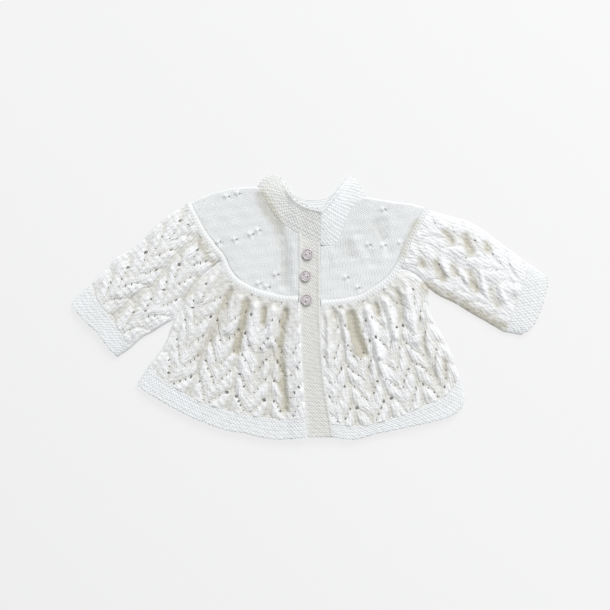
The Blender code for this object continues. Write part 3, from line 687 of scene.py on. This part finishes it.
def build_sheet(name, plan, top, low, lattice, painted_shade, gone, lined):
    """Makes the mesh: the upper face, walls inside the eyelets, and a lining along the lined edges."""
    rows, columns = top.shape
    index, quads = cells(rows, columns)
    parts = [(np.dstack([plan, top]).reshape(-1, 3), painted_shade.ravel(), np.dstack(lattice).reshape(-1, 2))]
    faces = [quads[~gone]]

    def add(points, shade, numbers):
        """Adds points below those with the given numbers, and gives their own numbers."""
        start = sum(len(part[0]) for part in parts)
        parts.append((points, np.full(len(points), shade), parts[0][2][numbers]))
        return np.arange(start, start + len(points))

    edges = []
    for i, j in np.argwhere(gone[:-1] ^ gone[1:]):
        edges.append(index[i + 1, j:j + 2][::1 if gone[i + 1, j] else -1])
    for i, j in np.argwhere(gone[:, :-1] ^ gone[:, 1:]):
        edges.append(index[i:i + 2, j + 1][::-1 if gone[i, j + 1] else 1])
    if edges:
        edges = np.array(edges)
        used, ends = np.unique(edges, return_inverse=True)
        # the eyelets' walls carry WALL_SHADE's painted shade
        new = add(parts[0][0][used] - (0, 0, EYELET_WALL), WALL_SHADE, used)[ends.reshape(edges.shape)]
        faces.append(np.stack([edges[:, 1], edges[:, 0], new[:, 0], new[:, 1]], axis=-1))

    rims = {"bottom": (index[-1][::-1], -1, 0), "last": (index[:, -1], 0, -1)}
    for edge in lined:
        rim, down, across = rims[edge]
        i, j = np.unravel_index(rim, (rows, columns))
        next_in = plan[i + down, j + across]
        pitch = np.hypot(*(next_in - plan[i, j]).T).mean()
        depth = min(int(LIP / max(pitch, 0.05)) + 1, (rows if down else columns) // 2)
        k, m = i + depth * down, j + depth * across
        previous = rim
        # each ring of the lining gets more painted shade towards the inside
        for place, height, shade in (
                (plan[i, j], np.minimum(low[i, j] + END_ROUND * 0.6, top[i, j] - 0.05), 0.3),
                (plan[i, j] * 0.8 + next_in * 0.2, low[i, j] + 0.1, 0.6),
                (plan[k, m], np.minimum(low[k, m], top[k, m] - 0.4), 1.0)):
            new = add(np.column_stack([place, height]), shade, rim)
            faces.append(np.stack([previous[1:], previous[:-1], new[:-1], new[1:]], axis=-1))
            previous = new

    points, shades, numbers = (np.concatenate(columns_of) for columns_of in zip(*parts))
    return knit_mesh(name, points, np.vstack(faces), shades, numbers)


def dress(piece, node, edges, knit, material, held="laid", arched=None):
    """Gives a sheet its material and body, works out its cut, and hides the CAD node it stands for. arched is
    how long a strip was that now arches over twice WELT_HALF."""
    wide, tall, area = cut_of(edges)
    if arched:
        tall, area = arched, min(area * arched / (2 * WELT_HALF), wide * arched)
    piece.data.materials.append(material)
    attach(piece, "root")
    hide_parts(node)


def front_sheet(node, edges, loft, stitches, knit, rests_on, lap=False, lift=None, spacing=FINE, counts=None,
                eyelets=(), lined=(), ends=(), sunk_ends=(), ridged=(), scalloped=False, shade=0.0,
                held="laid", arched=None):
    """A piece of the front. stitches(u, v, x, y) gives its form, its stitches' height and its lattice. Lined
    edges show their thickness, ends are rounded over, sunk ends dip under a neighbour, ridged ones carry a
    chain of stitches, and shade is painted shade, warm and dull, over the whole piece, or below 0 painted
    light that takes some of its painted shade away."""
    u, v, plan = sheet_grid(edges, spacing, counts)
    if scalloped:
        swing_free_edge(plan, u, v, length(edges["bottom"]))
    x, y = plan[..., 0], plan[..., 1]

    def gap_to(name):
        return distance_to([edges[name][::1 if len(edges[name]) < 5 else 2]], x, y)

    edge = distance_to(SIDE_SEAMS, x, y)
    low = inner_height(x, y, edge, loft(v[:, None]) if callable(loft) else loft, lap)
    if lift is not None:
        low = low + lift(u[None, :], v[:, None])
    form, height, relief, stitch, row = stitches(u[None, :], v[:, None], x, y)
    underarm = distance_to(UNDERARMS, x, y)
    drop = round_off(edge, SIDE_ROUND) * (1 - 0.7 * np.exp(-(underarm / 5.0) ** 2))
    for name in ends:
        drop = np.maximum(drop, round_off(gap_to(name), END_ROUND))
    for name in sunk_ends:
        drop = drop + SINK * (1 - eased(gap_to(name) / SINK_RUN))
    for name in ridged:
        chain = np.exp(-((gap_to(name) - EDGE_RIDGE_IN) / EDGE_RIDGE_IN) ** 2)
        form = form + EDGE_RIDGE * chain * (1 + 0.3 * ripple(x, y, 6.0, 22))
        height = height * (1 - 0.5 * chain) + 0.5 * chain
    calm = 0.35 + 0.65 * eased(edge / SIDE_ROUND)
    top = low + WALL + (form + relief * (height - 0.5)) * calm - drop
    # painted shade: duller between stitches, warm in the folds' troughs with a painted highlight on ridges,
    # and over the whole piece
    painted_shade = KNITS[knit][3] * (1 - height) + FOLD_SHADE * warm_shade(x, y) + shade
    # lace gets more painted shade where its form is low, less towards its sides
    if knit == "lace":
        dull, lit, reach = LACE_SHADE
        painted_shade = painted_shade + dull * eased((lit - form) / reach) * (0.4 + 0.6 * within(u))
    gone = cut_eyelets(plan, top, eyelets)
    lattice = [np.broadcast_to(number, top.shape) for number in (stitch, row)]
    piece = build_sheet(node + "_knit", plan, top, low, lattice, np.clip(painted_shade, 0, 1), gone, lined)
    dress(piece, node, edges, knit, WOOL[knit], held, arched)


def swing_free_edge(plan, u, v, wide):
    """Scallops the bottom edge, which the ends of the ridges pull in and out."""
    outward = plan[-1] - plan[-2]
    outward = outward / np.hypot(outward[:, 0], outward[:, 1])[:, None]
    swing = SCALLOP * np.cos(2 * math.pi * u * wide / SCALLOP_PITCH)
    share = eased((v - 0.6) / 0.4)
    plan += share[:, None, None] * (swing[:, None] * outward)[None]


# ---------------------------------------------------------------- stitch lattices

def garter_lattice(edges):
    """Garter ridges that run along u."""
    wide, tall = mean_size(edges)
    ridges = max(1, round(tall / GARTER_RIDGE))

    def stitches(u, v, x, y):
        stitch = u * wide / GARTER_STITCH + 0.22 * ripple(x, y, 14.0, 3)
        ridge = v * ridges + 0.09 * ripple(x, y, 22.0, 5)
        form = 0.25 * ripple(x, y, 7.0, 8)
        return form, garter(stitch, ridge), GARTER_RELIEF, stitch, ridge * 2

    return stitches


def plain_lattice(eyelets):
    """Plain knitting whose wales fan out, with a puffed stitch beside each small eyelet."""
    def stitches(u, v, x, y):
        away_x, away_y = x - PLAIN_FAN[0], PLAIN_FAN[1] - y
        stitch = np.arctan2(away_x, away_y) * PLAIN_FAN_REACH / PLAIN_STITCH + 0.18 * ripple(x, y, 18.0, 7)
        row = np.hypot(away_x, away_y) / PLAIN_ROW + 0.15 * ripple(x, y, 25.0, 9)
        form = 0.3 * ripple(x, y, 13.0, 1)
        for (centre_x, centre_y), (high, right, up, spread) in itertools.product(eyelets, YOKE_EYELET_LUMPS):
            form = form + high * np.exp(-((x - centre_x - right) ** 2 + (y - centre_y - up) ** 2) / spread)
        return form, plain(stitch, row, 0.2), PLAIN_RELIEF, stitch, row

    return stitches


def lace_lattice(repeats, lead, pinch, ditch, gathered=0.0, relief=1.0):
    """Lace over a whole number of repeats, plus the stitch that closes the last."""
    across, down = repeats
    before, above = lead

    def stitches(u, v, x, y):
        stray_stitch, stray_row = stray(x, y)
        even = u * (REPEAT_STITCHES * across + 1) - before + stray_stitch
        row = v * (REPEAT_ROWS * down + above) - above + stray_row
        form, wale = lace(even, row, pinch, ditch, within(u))
        form = form * relief * (0.9 + 0.4 * ripple(x, y, 17.0, 13) + 0.5 * ripple(x, y, 8.0, 17))
        form = form * (1 - FOLD_CALM * np.clip(np.abs(warm_shade(x, y)), 0, 1))
        if gathered:
            form = form * (GATHERED_PUFF + (1 - GATHERED_PUFF) * eased(v / GATHERED_LACE))
            run = u * gathered / GATHER_PITCH + 0.3 * ripple(x, y, 30.0, 6)
            pleat = np.cos(2 * math.pi * run) * (0.7 + 0.5 * ripple(x, y, 24.0, 11))
            form = form + GATHER_RELIEF * pleat * np.exp(-v * SKIRT_TALL / GATHER_REACH / 2)
        lumps = LACE_LUMPS[0] * ripple(x, y, LACE_LUMPS[1], 31)
        return form + lumps - 0.6, plain(wale, row, 0.6), LACE_RELIEF, wale, row

    return stitches


def lace_eyelets(edges, repeats, lead, pinch, gathered=False, opening=1.0):
    """Grid places and sizes of every eyelet, uneven as in hand knitting. A gathered piece's are smaller at
    the gathers and larger at its hem, and a sleeve's outer ones are larger above their spine than below."""
    across, down = repeats
    before, above = lead
    stitches = REPEAT_STITCHES * across + 1
    rows = REPEAT_ROWS * down + above
    top, bottom = length(edges["top"]), length(edges["bottom"])
    _, tall = mean_size(edges)
    chance = np.random.default_rng(41)
    found = []
    for j, i, (aside, row, half_x, half_y), sign in itertools.product(
            range(-1 if above else 0, down), range(across + 1), EYELETS, (-1, 1)):
        shift_x, shift_y = chance.uniform(-0.15, 0.15, 2)
        size_x, size_y = chance.uniform(*EYELET_SIZES, 2) * opening
        stitch = i * REPEAT_STITCHES + CENTRE_STITCH + sign * aside + shift_x
        u = (drawn_in(stitch, pinch) + before) / stitches
        v = (j * REPEAT_ROWS + row + shift_y + above) / rows
        if not (0 < u < 1 and 0 < v < 1):
            continue
        stray_stitch, stray_row = stray(*patch(edges, np.array([u]), np.array([v]))[0, 0])
        u, v = u - stray_stitch / stitches, v - stray_row / rows
        if gathered:
            size_x *= 0.5 + 0.5 * float(eased(v / GATHERED_LACE)) + HEM_OPENING * float(eased(4 * v - 3))
        elif row == 1.0:
            size_x *= SLEEVE_OUTER[sign]
        half_wide = half_x * size_x * (top + (bottom - top) * v) / stitches
        if half_wide > SMALLEST_EYELET:
            lean = 0.0 if row == 1.0 else sign * EYELET_LEAN
            found.append((u, v, half_wide, half_y * size_y * tall / rows, lean))
    return found


# ================================================================ materials

class Graph:
    """A new material and its nodes. The values of a node's inputs are numbers, colours or output sockets."""

    def __init__(self, name):
        self.material = bpy.data.materials.new(name)
        self.material.use_nodes = True
        self.tree = self.material.node_tree
        self.shader = self.tree.nodes["Principled BSDF"]

    def fill(self, node, inputs):
        for key, value in inputs.items():
            if isinstance(value, bpy.types.NodeSocket):
                self.tree.links.new(value, node.inputs[key])
            else:
                node.inputs[key].default_value = value

    def add(self, kind, inputs=(), **settings):
        """Adds a node, and gives its outputs."""
        node = self.tree.nodes.new("ShaderNode" + kind)
        for key, value in settings.items():
            setattr(node, key, value)
        self.fill(node, dict(inputs))
        return node.outputs

    def sum(self, operation, *values, **settings):
        return self.add("Math", enumerate(values), operation=operation, **settings)[0]


def chevrons(graph, stitch, row):
    """Height of plain knitting's spreading legs over the lattice, from 0 to 1."""
    start, spread, half = LEG
    aside = graph.sum("ABSOLUTE", graph.sum("SUBTRACT", graph.sum("FRACT", stitch), 0.5))
    leg = graph.sum("MULTIPLY_ADD", graph.sum("FRACT", row), -spread, -start)
    offset = graph.sum("ADD", aside, leg)
    square = graph.sum("MULTIPLY", offset, offset)
    return graph.sum("MULTIPLY_ADD", square, -1 / half ** 2, 1.0, use_clamp=True)


def purl_lines(graph, stitch, row):
    """Height of garter ridges' waving purl bumps over the lattice, from -0.4 to 0.4."""
    swing = graph.sum("COSINE", graph.sum("MULTIPLY", stitch, 2 * math.pi))
    across = graph.sum("MULTIPLY", row, 2 * math.pi)
    wave = graph.sum("COSINE", graph.sum("MULTIPLY_ADD", swing, 0.7, across))
    return graph.sum("MULTIPLY", wave, 0.4)


def wool(name, lit, sunk, stitches=None):
    """Soft matt baby wool with painted shade: darker and warmer where a point is sunk, as shade makes it,
    over an uneven tone; with fibres as fine bump, and with stitches as bump on the sheets that are too coarse
    to have them raised."""
    graph = Graph(name)
    painted_shade = graph.add("Attribute", attribute_name="painted_shade")["Fac"]
    place = graph.add("TexCoord")["Object"]
    cloud = graph.add("TexNoise", {"Vector": place, "Scale": 55.0, "Detail": 3.0})["Fac"]
    # painted shade from the point attribute, plus the wool's uneven tone, sets how far the colour goes from
    # lit to sunk
    dull = graph.sum("ADD", painted_shade, graph.sum("MULTIPLY_ADD", cloud, 0.25, -0.12), use_clamp=True)
    colour = graph.add("Mix", {"A": (*lit, 1), "B": (*sunk, 1), "Factor": dull}, data_type="RGBA")["Result"]
    fibres = graph.add("TexNoise", {"Vector": place, "Scale": 1900.0, "Detail": 4.0, "Roughness": 0.7})["Fac"]
    bump = {"Strength": 0.55, "Distance": 0.0004, "Height": fibres}
    if stitches:
        numbers = graph.add("SeparateXYZ", {0: graph.add("UVMap", uv_map="lattice")["UV"]})
        raised = {"Distance": STITCH_BUMP, "Height": stitches(graph, numbers["X"], numbers["Y"])}
        bump["Normal"] = graph.add("Bump", {"Strength": 1.0, **raised})["Normal"]
    normal = graph.add("Bump", bump)["Normal"]
    graph.fill(graph.shader, {"Base Color": colour, "Normal": normal, "Roughness": 0.92,
                              "Specular IOR Level": 0.2, "Sheen Weight": 0.25, "Sheen Roughness": 0.5})
    through = graph.add("BsdfTranslucent", {"Color": colour, "Normal": normal})["BSDF"]
    both = graph.add("MixShader", {0: SEEN_THROUGH, 1: graph.shader.outputs["BSDF"], 2: through})["Shader"]
    graph.fill(graph.tree.nodes["Material Output"], {"Surface": both})
    return graph.material


def pearl():
    """Pale pink pearly plastic."""
    graph = Graph("pearl_button")
    place = graph.add("TexCoord")["Object"]
    cloud = graph.add("TexNoise", {"Vector": place, "Scale": 260.0, "Detail": 3.0})["Fac"]
    colour = graph.add("Mix", {"A": (0.66, 0.61, 0.62, 1), "B": (0.52, 0.47, 0.485, 1), "Factor": cloud},
                       data_type="RGBA")["Result"]
    graph.fill(graph.shader, {"Base Color": colour, "Roughness": 0.22, "Coat Weight": 0.4,
                              "Coat Roughness": 0.1})
    return graph.material


def floor_material():
    """A plain pale surface that glows with painted light, which softens the shadows on it, and glows a little
    more towards the window side, away from the hem.
    """
    graph = Graph("pale_surface")
    axes = graph.add("SeparateXYZ", {0: graph.add("TexCoord")["Object"]})
    across = graph.sum("MULTIPLY_ADD", axes["X"], FLOOR_SLOPE[0], FLOOR_GLOW)
    along = graph.sum("MULTIPLY_ADD", axes["Y"], FLOOR_SLOPE[1], across)
    glow = graph.add("Clamp", {"Value": along, "Min": FLOOR_GLOW - 0.06, "Max": FLOOR_GLOW + 0.06})["Result"]
    graph.fill(graph.shader, {"Base Color": (0.12, 0.12, 0.12, 1), "Roughness": 0.9,
                              "Specular IOR Level": 0.0, "Emission Color": (1, 1, 1, 1),
                              "Emission Strength": glow})
    return graph.material


WOOL = {knit: wool("ivory_wool_" + knit, lit, sunk) for knit, (_, lit, sunk, _) in KNITS.items()}
BACK_WOOL = {knit: wool(f"ivory_wool_{knit}_back", lit, sunk, purl_lines if knit == "garter" else chevrons)
             for knit, (_, lit, sunk, _) in KNITS.items()}


# ================================================================ pieces

def front_half(side):
    """The fronts of one half, whose cloth runs on under the welt and towards the bands."""
    edge = EDGES[side]
    lap = side == "right"
    outward = -1 if lap else 1
    tuck_in, tuck_out = (beside(edge["welt"], way * outward * (WELT_HALF - WELT_TUCK)) for way in (-1, 1))
    tuck_arm = stretch(tuck_out, 0, ARMHOLE_SHARE)
    tuck_skirt = stretch(tuck_out, ARMHOLE_SHARE, 1)
    shift = np.array([-outward * UNDERLAP, 0.0])
    yoke_end, skirt_end = ((line[-1] + shift)[None] for line in (tuck_in, tuck_skirt))

    front = edge["front_edge"] + shift
    neck = beside(edge["neck_seam"], -outward * NECK_TUCK)
    yoke = sides(joined(neck, front[:1]), joined(tuck_in, yoke_end),
                 joined(neck[:1], edge["shoulder"], tuck_in[:1]), np.vstack([front[[0, -1]], yoke_end]))
    front_sheet(side + "_yoke", yoke, YOKE_LOFT, plain_lattice(YOKE_EYELETS[side]), "plain", "back_yoke", lap,
                spacing=YOKE_FINE, eyelets=yoke_eyelets(side, yoke), sunk_ends=("top", "last"))

    inner, outer = edge["welt_inner"], edge["welt_outer"]
    welt = sides(inner, outer, *(np.array([inner[k], outer[k]]) for k in (0, -1)))
    front_sheet(side + "_welt", welt, lambda v: YOKE_LOFT + (SKIRT_LOFT - YOKE_LOFT) * v, welt_lattice(welt),
                "garter", "back_yoke", lap, shade=PIECE_SHADE["welt"], arched=WELT_CUT)

    front = edge["skirt_front_edge"] + shift
    hem_line = joined(edge["hem_line"], front[-1:])
    skirt = sides(joined(tuck_skirt, skirt_end), hem_line, joined(tuck_skirt[:1], edge["side"]),
                  joined(skirt_end, front))
    lead = SKIRT_LEAD[side]
    front_sheet(side + "_skirt", skirt, SKIRT_LOFT,
                lace_lattice(SKIRT_REPEATS, lead, SKIRT_PINCH, SKIRT_DITCH, length(skirt["top"])),
                "lace", "back_skirt", lap, counts=SKIRT_CELLS,
                eyelets=lace_eyelets(skirt, SKIRT_REPEATS, lead, SKIRT_PINCH, gathered=True),
                sunk_ends=("last",), shade=PIECE_SHADE[side + "_skirt"], held="gathered")

    sleeve = sides(tuck_arm, edge["cuff_line"], joined(tuck_arm[:1], edge["sleeve_upper"]),
                   joined(tuck_arm[-1:], edge["sleeve_lower"]))
    laid = SLEEVE_REPEATS, SLEEVE_LEAD, SLEEVE_PINCH
    front_sheet(side + "_sleeve_front", sleeve, SKIRT_LOFT,
                lace_lattice(*laid, SLEEVE_DITCH[side], relief=SLEEVE_RELIEF[side]),
                "lace", side + "_sleeve_back", counts=SLEEVE_CELLS,
                eyelets=lace_eyelets(sleeve, *laid, opening=SLEEVE_OPENING[side]),
                shade=PIECE_SHADE[side + "_sleeve"])

    hem_front = edge["hem_front"] + shift
    hem = sides(hem_line, joined(edge["hem_end"], hem_front[-1:]), edge["hem_side"], hem_front)
    front_sheet(side + "_hem", hem, SKIRT_LOFT, garter_lattice(hem), "garter", "back_hem", lap,
                lined=("bottom",), ends=("bottom",), sunk_ends=("last",), scalloped=True)
    cuff = between(edge, "cuff_line", "cuff_end", "cuff_upper", "cuff_lower")
    front_sheet(side + "_cuff_front", cuff, SKIRT_LOFT, garter_lattice(cuff), "garter", side + "_cuff_back",
                lined=("bottom",), ends=("bottom",), scalloped=True)


def yoke_eyelets(side, yoke):
    """Grid places of the yoke's small eyelets, found from their plan points."""
    u = np.linspace(0, 1, 81)
    plan = patch(yoke, u, u)
    found = []
    for place in YOKE_EYELETS[side]:
        gap = np.hypot(*(plan - place).transpose(2, 0, 1))
        i, j = np.unravel_index(gap.argmin(), gap.shape)
        found.append((u[j], u[i], *YOKE_EYELET_SIZE, 0.0))
    return found


def welt_lattice(welt):
    """A rounded ridge of purl bumps, its edges sunk into the cloth on both sides."""
    wide, _ = mean_size(welt)

    def stitches(u, v, x, y):
        stitch = u * wide / GARTER_STITCH + 0 * v
        ridge = v + 0 * u
        crown = WELT_CROWN * np.cos((2 * v - 1) * math.pi / 2) ** 2 - 0.25 + 0.15 * ripple(stitch, v, 5.0, 21)
        return crown, garter(stitch, ridge), WELT_RELIEF, stitch, ridge * 4

    return stitches


def collar_wing(side):
    """Half of the stand collar. It rises from its seam, and from the shoulder to the front."""
    edge = EDGES[side]
    front_end = np.array([edge["collar_seam"][-1], edge["collar_free"][-1]])
    wing = sides(edge["collar_seam"], edge["collar_free"], edge["collar_fold"], front_end)
    front_sheet(side + "_collar", wing, YOKE_LOFT, garter_lattice(wing), "garter", side + "_yoke",
                side == "right", lift=lambda u, v: COLLAR_STAND[side] * v * eased(u / COLLAR_RISE),
                lined=("bottom", "last"), ends=("bottom",), ridged=("bottom",), scalloped=True,
                shade=COLLAR_SHADE[side])


def front_band(node, shape, rests_on, lap=False, **finish):
    """A front band, which starts under the collar where it laps over the other."""
    left, right = (smooth_line(shape[key]) for key in ("left", "right"))
    if lap:
        left, right = (np.vstack([line[0] + (0, BAND_TUCK), line]) for line in (left, right))
    band = sides(np.array([left[0], right[0]]), np.array([left[-1], right[-1]]), left, right)
    front_sheet(node, band, YOKE_LOFT, garter_lattice(band), "garter", rests_on, lap, **finish)


def even_numbers(stitch, row):
    """The lattice of a flat back whose stitches are this wide and tall, and nowhere sunk."""
    return lambda u, v, x, y, wide, tall: (u * wide / stitch, v * tall / row, 0 * x)


def lace_numbers(u, v, x, y, wide, tall):
    """The back's lace, as even as flat cloth is: its wales, its rows and how far it is sunk."""
    across, down = round(wide / LACE_REPEAT_WIDE), round(tall / LACE_REPEAT_TALL)
    stray_stitch, stray_row = stray(x, y)
    row = v * REPEAT_ROWS * down + stray_row
    form, wale = lace(u * (REPEAT_STITCHES * across + 1) + stray_stitch, row, 1.0, SKIRT_DITCH, 1.0)
    return wale, row, BACK_HOLLOW * np.clip((PUFF - form) / PUFF, 0, 1)


BACK_NUMBERS = {"plain": even_numbers(PLAIN_STITCH, PLAIN_ROW), "lace": lace_numbers,
                "garter": even_numbers(GARTER_STITCH, GARTER_RIDGE)}


def back_sheet(node, edges, knit, shade=0.3):
    """A piece of the back: closed and rounded at the rim, and lying on the surface. shade is the painted
    shade on its upper face, which shows through the eyelets."""
    u, v, plan = sheet_grid(edges, COARSE)
    x, y = plan[..., 0], plan[..., 1]
    rim = distance_to(SIDE_SEAMS, x, y)
    stitch, row, sunk = BACK_NUMBERS[knit](u[None, :], v[:, None], x, y, *cut_of(edges)[:2])
    upper = WALL + 0.15 * ripple(x, y, 9.0, 6) * eased(rim / 3)
    lower = np.maximum(round_off(rim, SIDE_ROUND) * (WALL / SIDE_ROUND), sunk)
    lower = np.minimum(lower, upper - 0.02)
    index, quads = cells(*x.shape)
    quads = quads.reshape(-1, 4)
    loop = np.concatenate([index[0, :-1], index[:-1, -1], index[-1, :0:-1], index[:0:-1, 0]])
    following = np.roll(loop, -1)
    walls = np.stack([loop, following, following + x.size, loop + x.size], axis=-1)
    points = np.concatenate([np.dstack([plan, height]).reshape(-1, 3) for height in (upper, lower)])
    # painted shade: even over the upper face, and on the lower face deeper where the lace is sunk
    painted_shade = np.concatenate([np.full(x.size, shade), 0.1 + 0.6 * sunk.ravel() / BACK_HOLLOW])
    lattice = np.dstack(np.broadcast_arrays(stitch, row, x)[:2]).reshape(-1, 2)
    piece = knit_mesh(node + "_knit", points, np.vstack([quads, quads[:, ::-1] + x.size, walls]), painted_shade,
                      np.tile(lattice, (2, 1)))
    dress(piece, node, edges, knit, BACK_WOOL[knit])


def backs():
    right, left = EDGES["right"], EDGES["left"]

    def across(name):
        """A line that runs on over both halves."""
        return joined(right[name], left[name][::-1])

    neck, gathers, hem_line = across("back_neck_half"), across("gathers"), across("hem_line")
    yoke_top = joined(right["shoulder"][::-1], neck, left["shoulder"])
    arms = [joined(half["welt_inner"][:1], half["armhole"]) for half in (right, left)]
    back_sheet("back_yoke", sides(yoke_top, gathers, *arms), "plain")
    back_sheet("back_skirt", sides(gathers, hem_line, right["side"], left["side"]), "lace")
    back_sheet("back_hem", sides(hem_line, across("hem_end"), right["hem_side"], left["hem_side"]), "garter")
    back_sheet("back_collar", sides(across("back_collar_half"), neck, right["collar_fold"][::-1],
                                    left["collar_fold"][::-1]), "garter", shade=0.2)
    for side, half in EDGES.items():
        sleeve = between(half, "armhole", "cuff_line", "sleeve_upper", "sleeve_lower")
        back_sheet(side + "_sleeve_back", sleeve, "lace")
        cuff = between(half, "cuff_line", "cuff_end", "cuff_upper", "cuff_lower")
        back_sheet(side + "_cuff_back", cuff, "garter")


def button(node, x, y, turn, material):
    """A turned two-hole button, sewn on with white thread."""
    mesh = bmesh.new()
    points = [mesh.verts.new((radius * MM, 0, height * MM)) for radius, height in BUTTON_PROFILE]
    line = [mesh.edges.new(pair) for pair in zip(points, points[1:])]
    bmesh.ops.spin(mesh, geom=points + line, cent=(0, 0, 0), axis=(0, 0, 1), angle=2 * math.pi, steps=72,
                   use_merge=True)
    bmesh.ops.remove_doubles(mesh, verts=mesh.verts, dist=0.00001)
    bmesh.ops.recalc_face_normals(mesh, faces=mesh.faces)
    data = bpy.data.meshes.new(node + "_turned")
    mesh.to_mesh(data)
    mesh.free()
    thing = link(node + "_turned", data)
    place = Vector(((x - PLAN_MIDDLE[0]) * MM, (y - PLAN_MIDDLE[1]) * MM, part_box(node)[0][2]))
    thing.location = place
    angle = math.radians(turn)
    spread = Vector((math.cos(angle), math.sin(angle), 0)) * BUTTON_HOLE_SPREAD * MM
    drills = []
    for sign in (-1, 1):
        bpy.ops.mesh.primitive_cylinder_add(vertices=24, radius=BUTTON_HOLE_RADIUS * MM, depth=0.01,
                                            location=place + sign * spread)
        drills.append(bpy.context.object)
        cut = thing.modifiers.new("hole", "BOOLEAN")
        cut.operation = "DIFFERENCE"
        cut.object = drills[-1]
    bpy.context.view_layer.update()
    shape = bpy.data.meshes.new_from_object(thing.evaluated_get(bpy.context.evaluated_depsgraph_get()))
    thing.modifiers.clear()
    thing.data = shape
    for drill in drills:
        bpy.data.objects.remove(drill)
    shape.shade_smooth()
    shape.set_sharp_from_angle(angle=math.radians(40))
    shape.materials.clear()
    shape.materials.append(material)
    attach(thing, "root")
    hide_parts(node)

    thread = thread_bar(node + "_thread", place, spread)
    thread.data.materials.append(WOOL["garter"])
    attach(thread, "root")


def thread_bar(name, place, spread):
    """Three passes of thread from one hole to the other and down through both."""
    curve = bpy.data.curves.new(name, "CURVE")
    curve.dimensions = "3D"
    curve.bevel_depth = THREAD_RADIUS * MM
    curve.bevel_resolution = 3
    curve.use_fill_caps = True
    side = Vector((-spread.y, spread.x, 0)).normalized() * THREAD_GAP * MM
    count = 14
    for k in (-1, 0, 1):
        spline = curve.splines.new("POLY")
        spline.points.add(count - 1)
        for i, point in enumerate(spline.points):
            share = i / (count - 1) * 2 - 1
            up = Vector((0, 0, (THREAD_CROWN - THREAD_DOWN * abs(share) ** 6) * MM))
            point.co = (*(place + spread * share * THREAD_REACH + side * k * (1 - 0.5 * share ** 2) + up), 1)
    return link(name, curve)


# ================================================================ stage

def stage():
    bpy.ops.mesh.primitive_plane_add(size=6.0, location=(0, 0, 0))
    floor = bpy.context.object
    floor.name = "pale_floor"
    floor.data.materials.append(floor_material())

    scene = bpy.context.scene
    scene.world = bpy.data.worlds.new("studio")
    scene.world.use_nodes = True
    background = scene.world.node_tree.nodes["Background"]
    background.inputs["Color"].default_value = (0.97, 0.985, 1.0, 1)
    background.inputs["Strength"].default_value = WORLD_LIGHT
    scene.view_settings.view_transform = "Standard"

    key = bpy.data.lights.new("key", "AREA")
    key.shape = "DISK"
    key.size = LAMP_SIZE
    key.energy = LAMP_POWER
    key.color = (0.985, 0.99, 1.0)
    lamp = link("key", key)
    lamp.location = LAMP_PLACE
    lamp.rotation_euler = (-lamp.location).to_track_quat("-Z", "Y").to_euler()

    eye = bpy.data.cameras.new("camera")
    eye.lens = LENS
    eye.sensor_width = SENSOR
    eye.clip_start = 0.01
    scene.camera = link("camera", eye)
    scene.camera.location = ((LOOK_AT[0] - PLAN_MIDDLE[0]) * MM, (LOOK_AT[1] - PLAN_MIDDLE[1]) * MM,
                             FRAME_WIDTH * LENS / SENSOR)


backs()
for half in OUTLINES:
    front_half(half)
    collar_wing(half)
front_band("button_band", BUTTON_BAND, "back_skirt", spacing=HALF_HIDDEN, lined=("bottom",))
front_band("buttonhole_band", BUTTONHOLE_BAND, "button_band", lap=True, lined=("bottom", "last"),
           ends=("last",), ridged=("first", "last"), sunk_ends=("top",), shade=BAND_SHADE)
PEARL = pearl()
for row in BUTTONS:
    button(*row, PEARL)
stage()

bpy.context.view_layer.update()
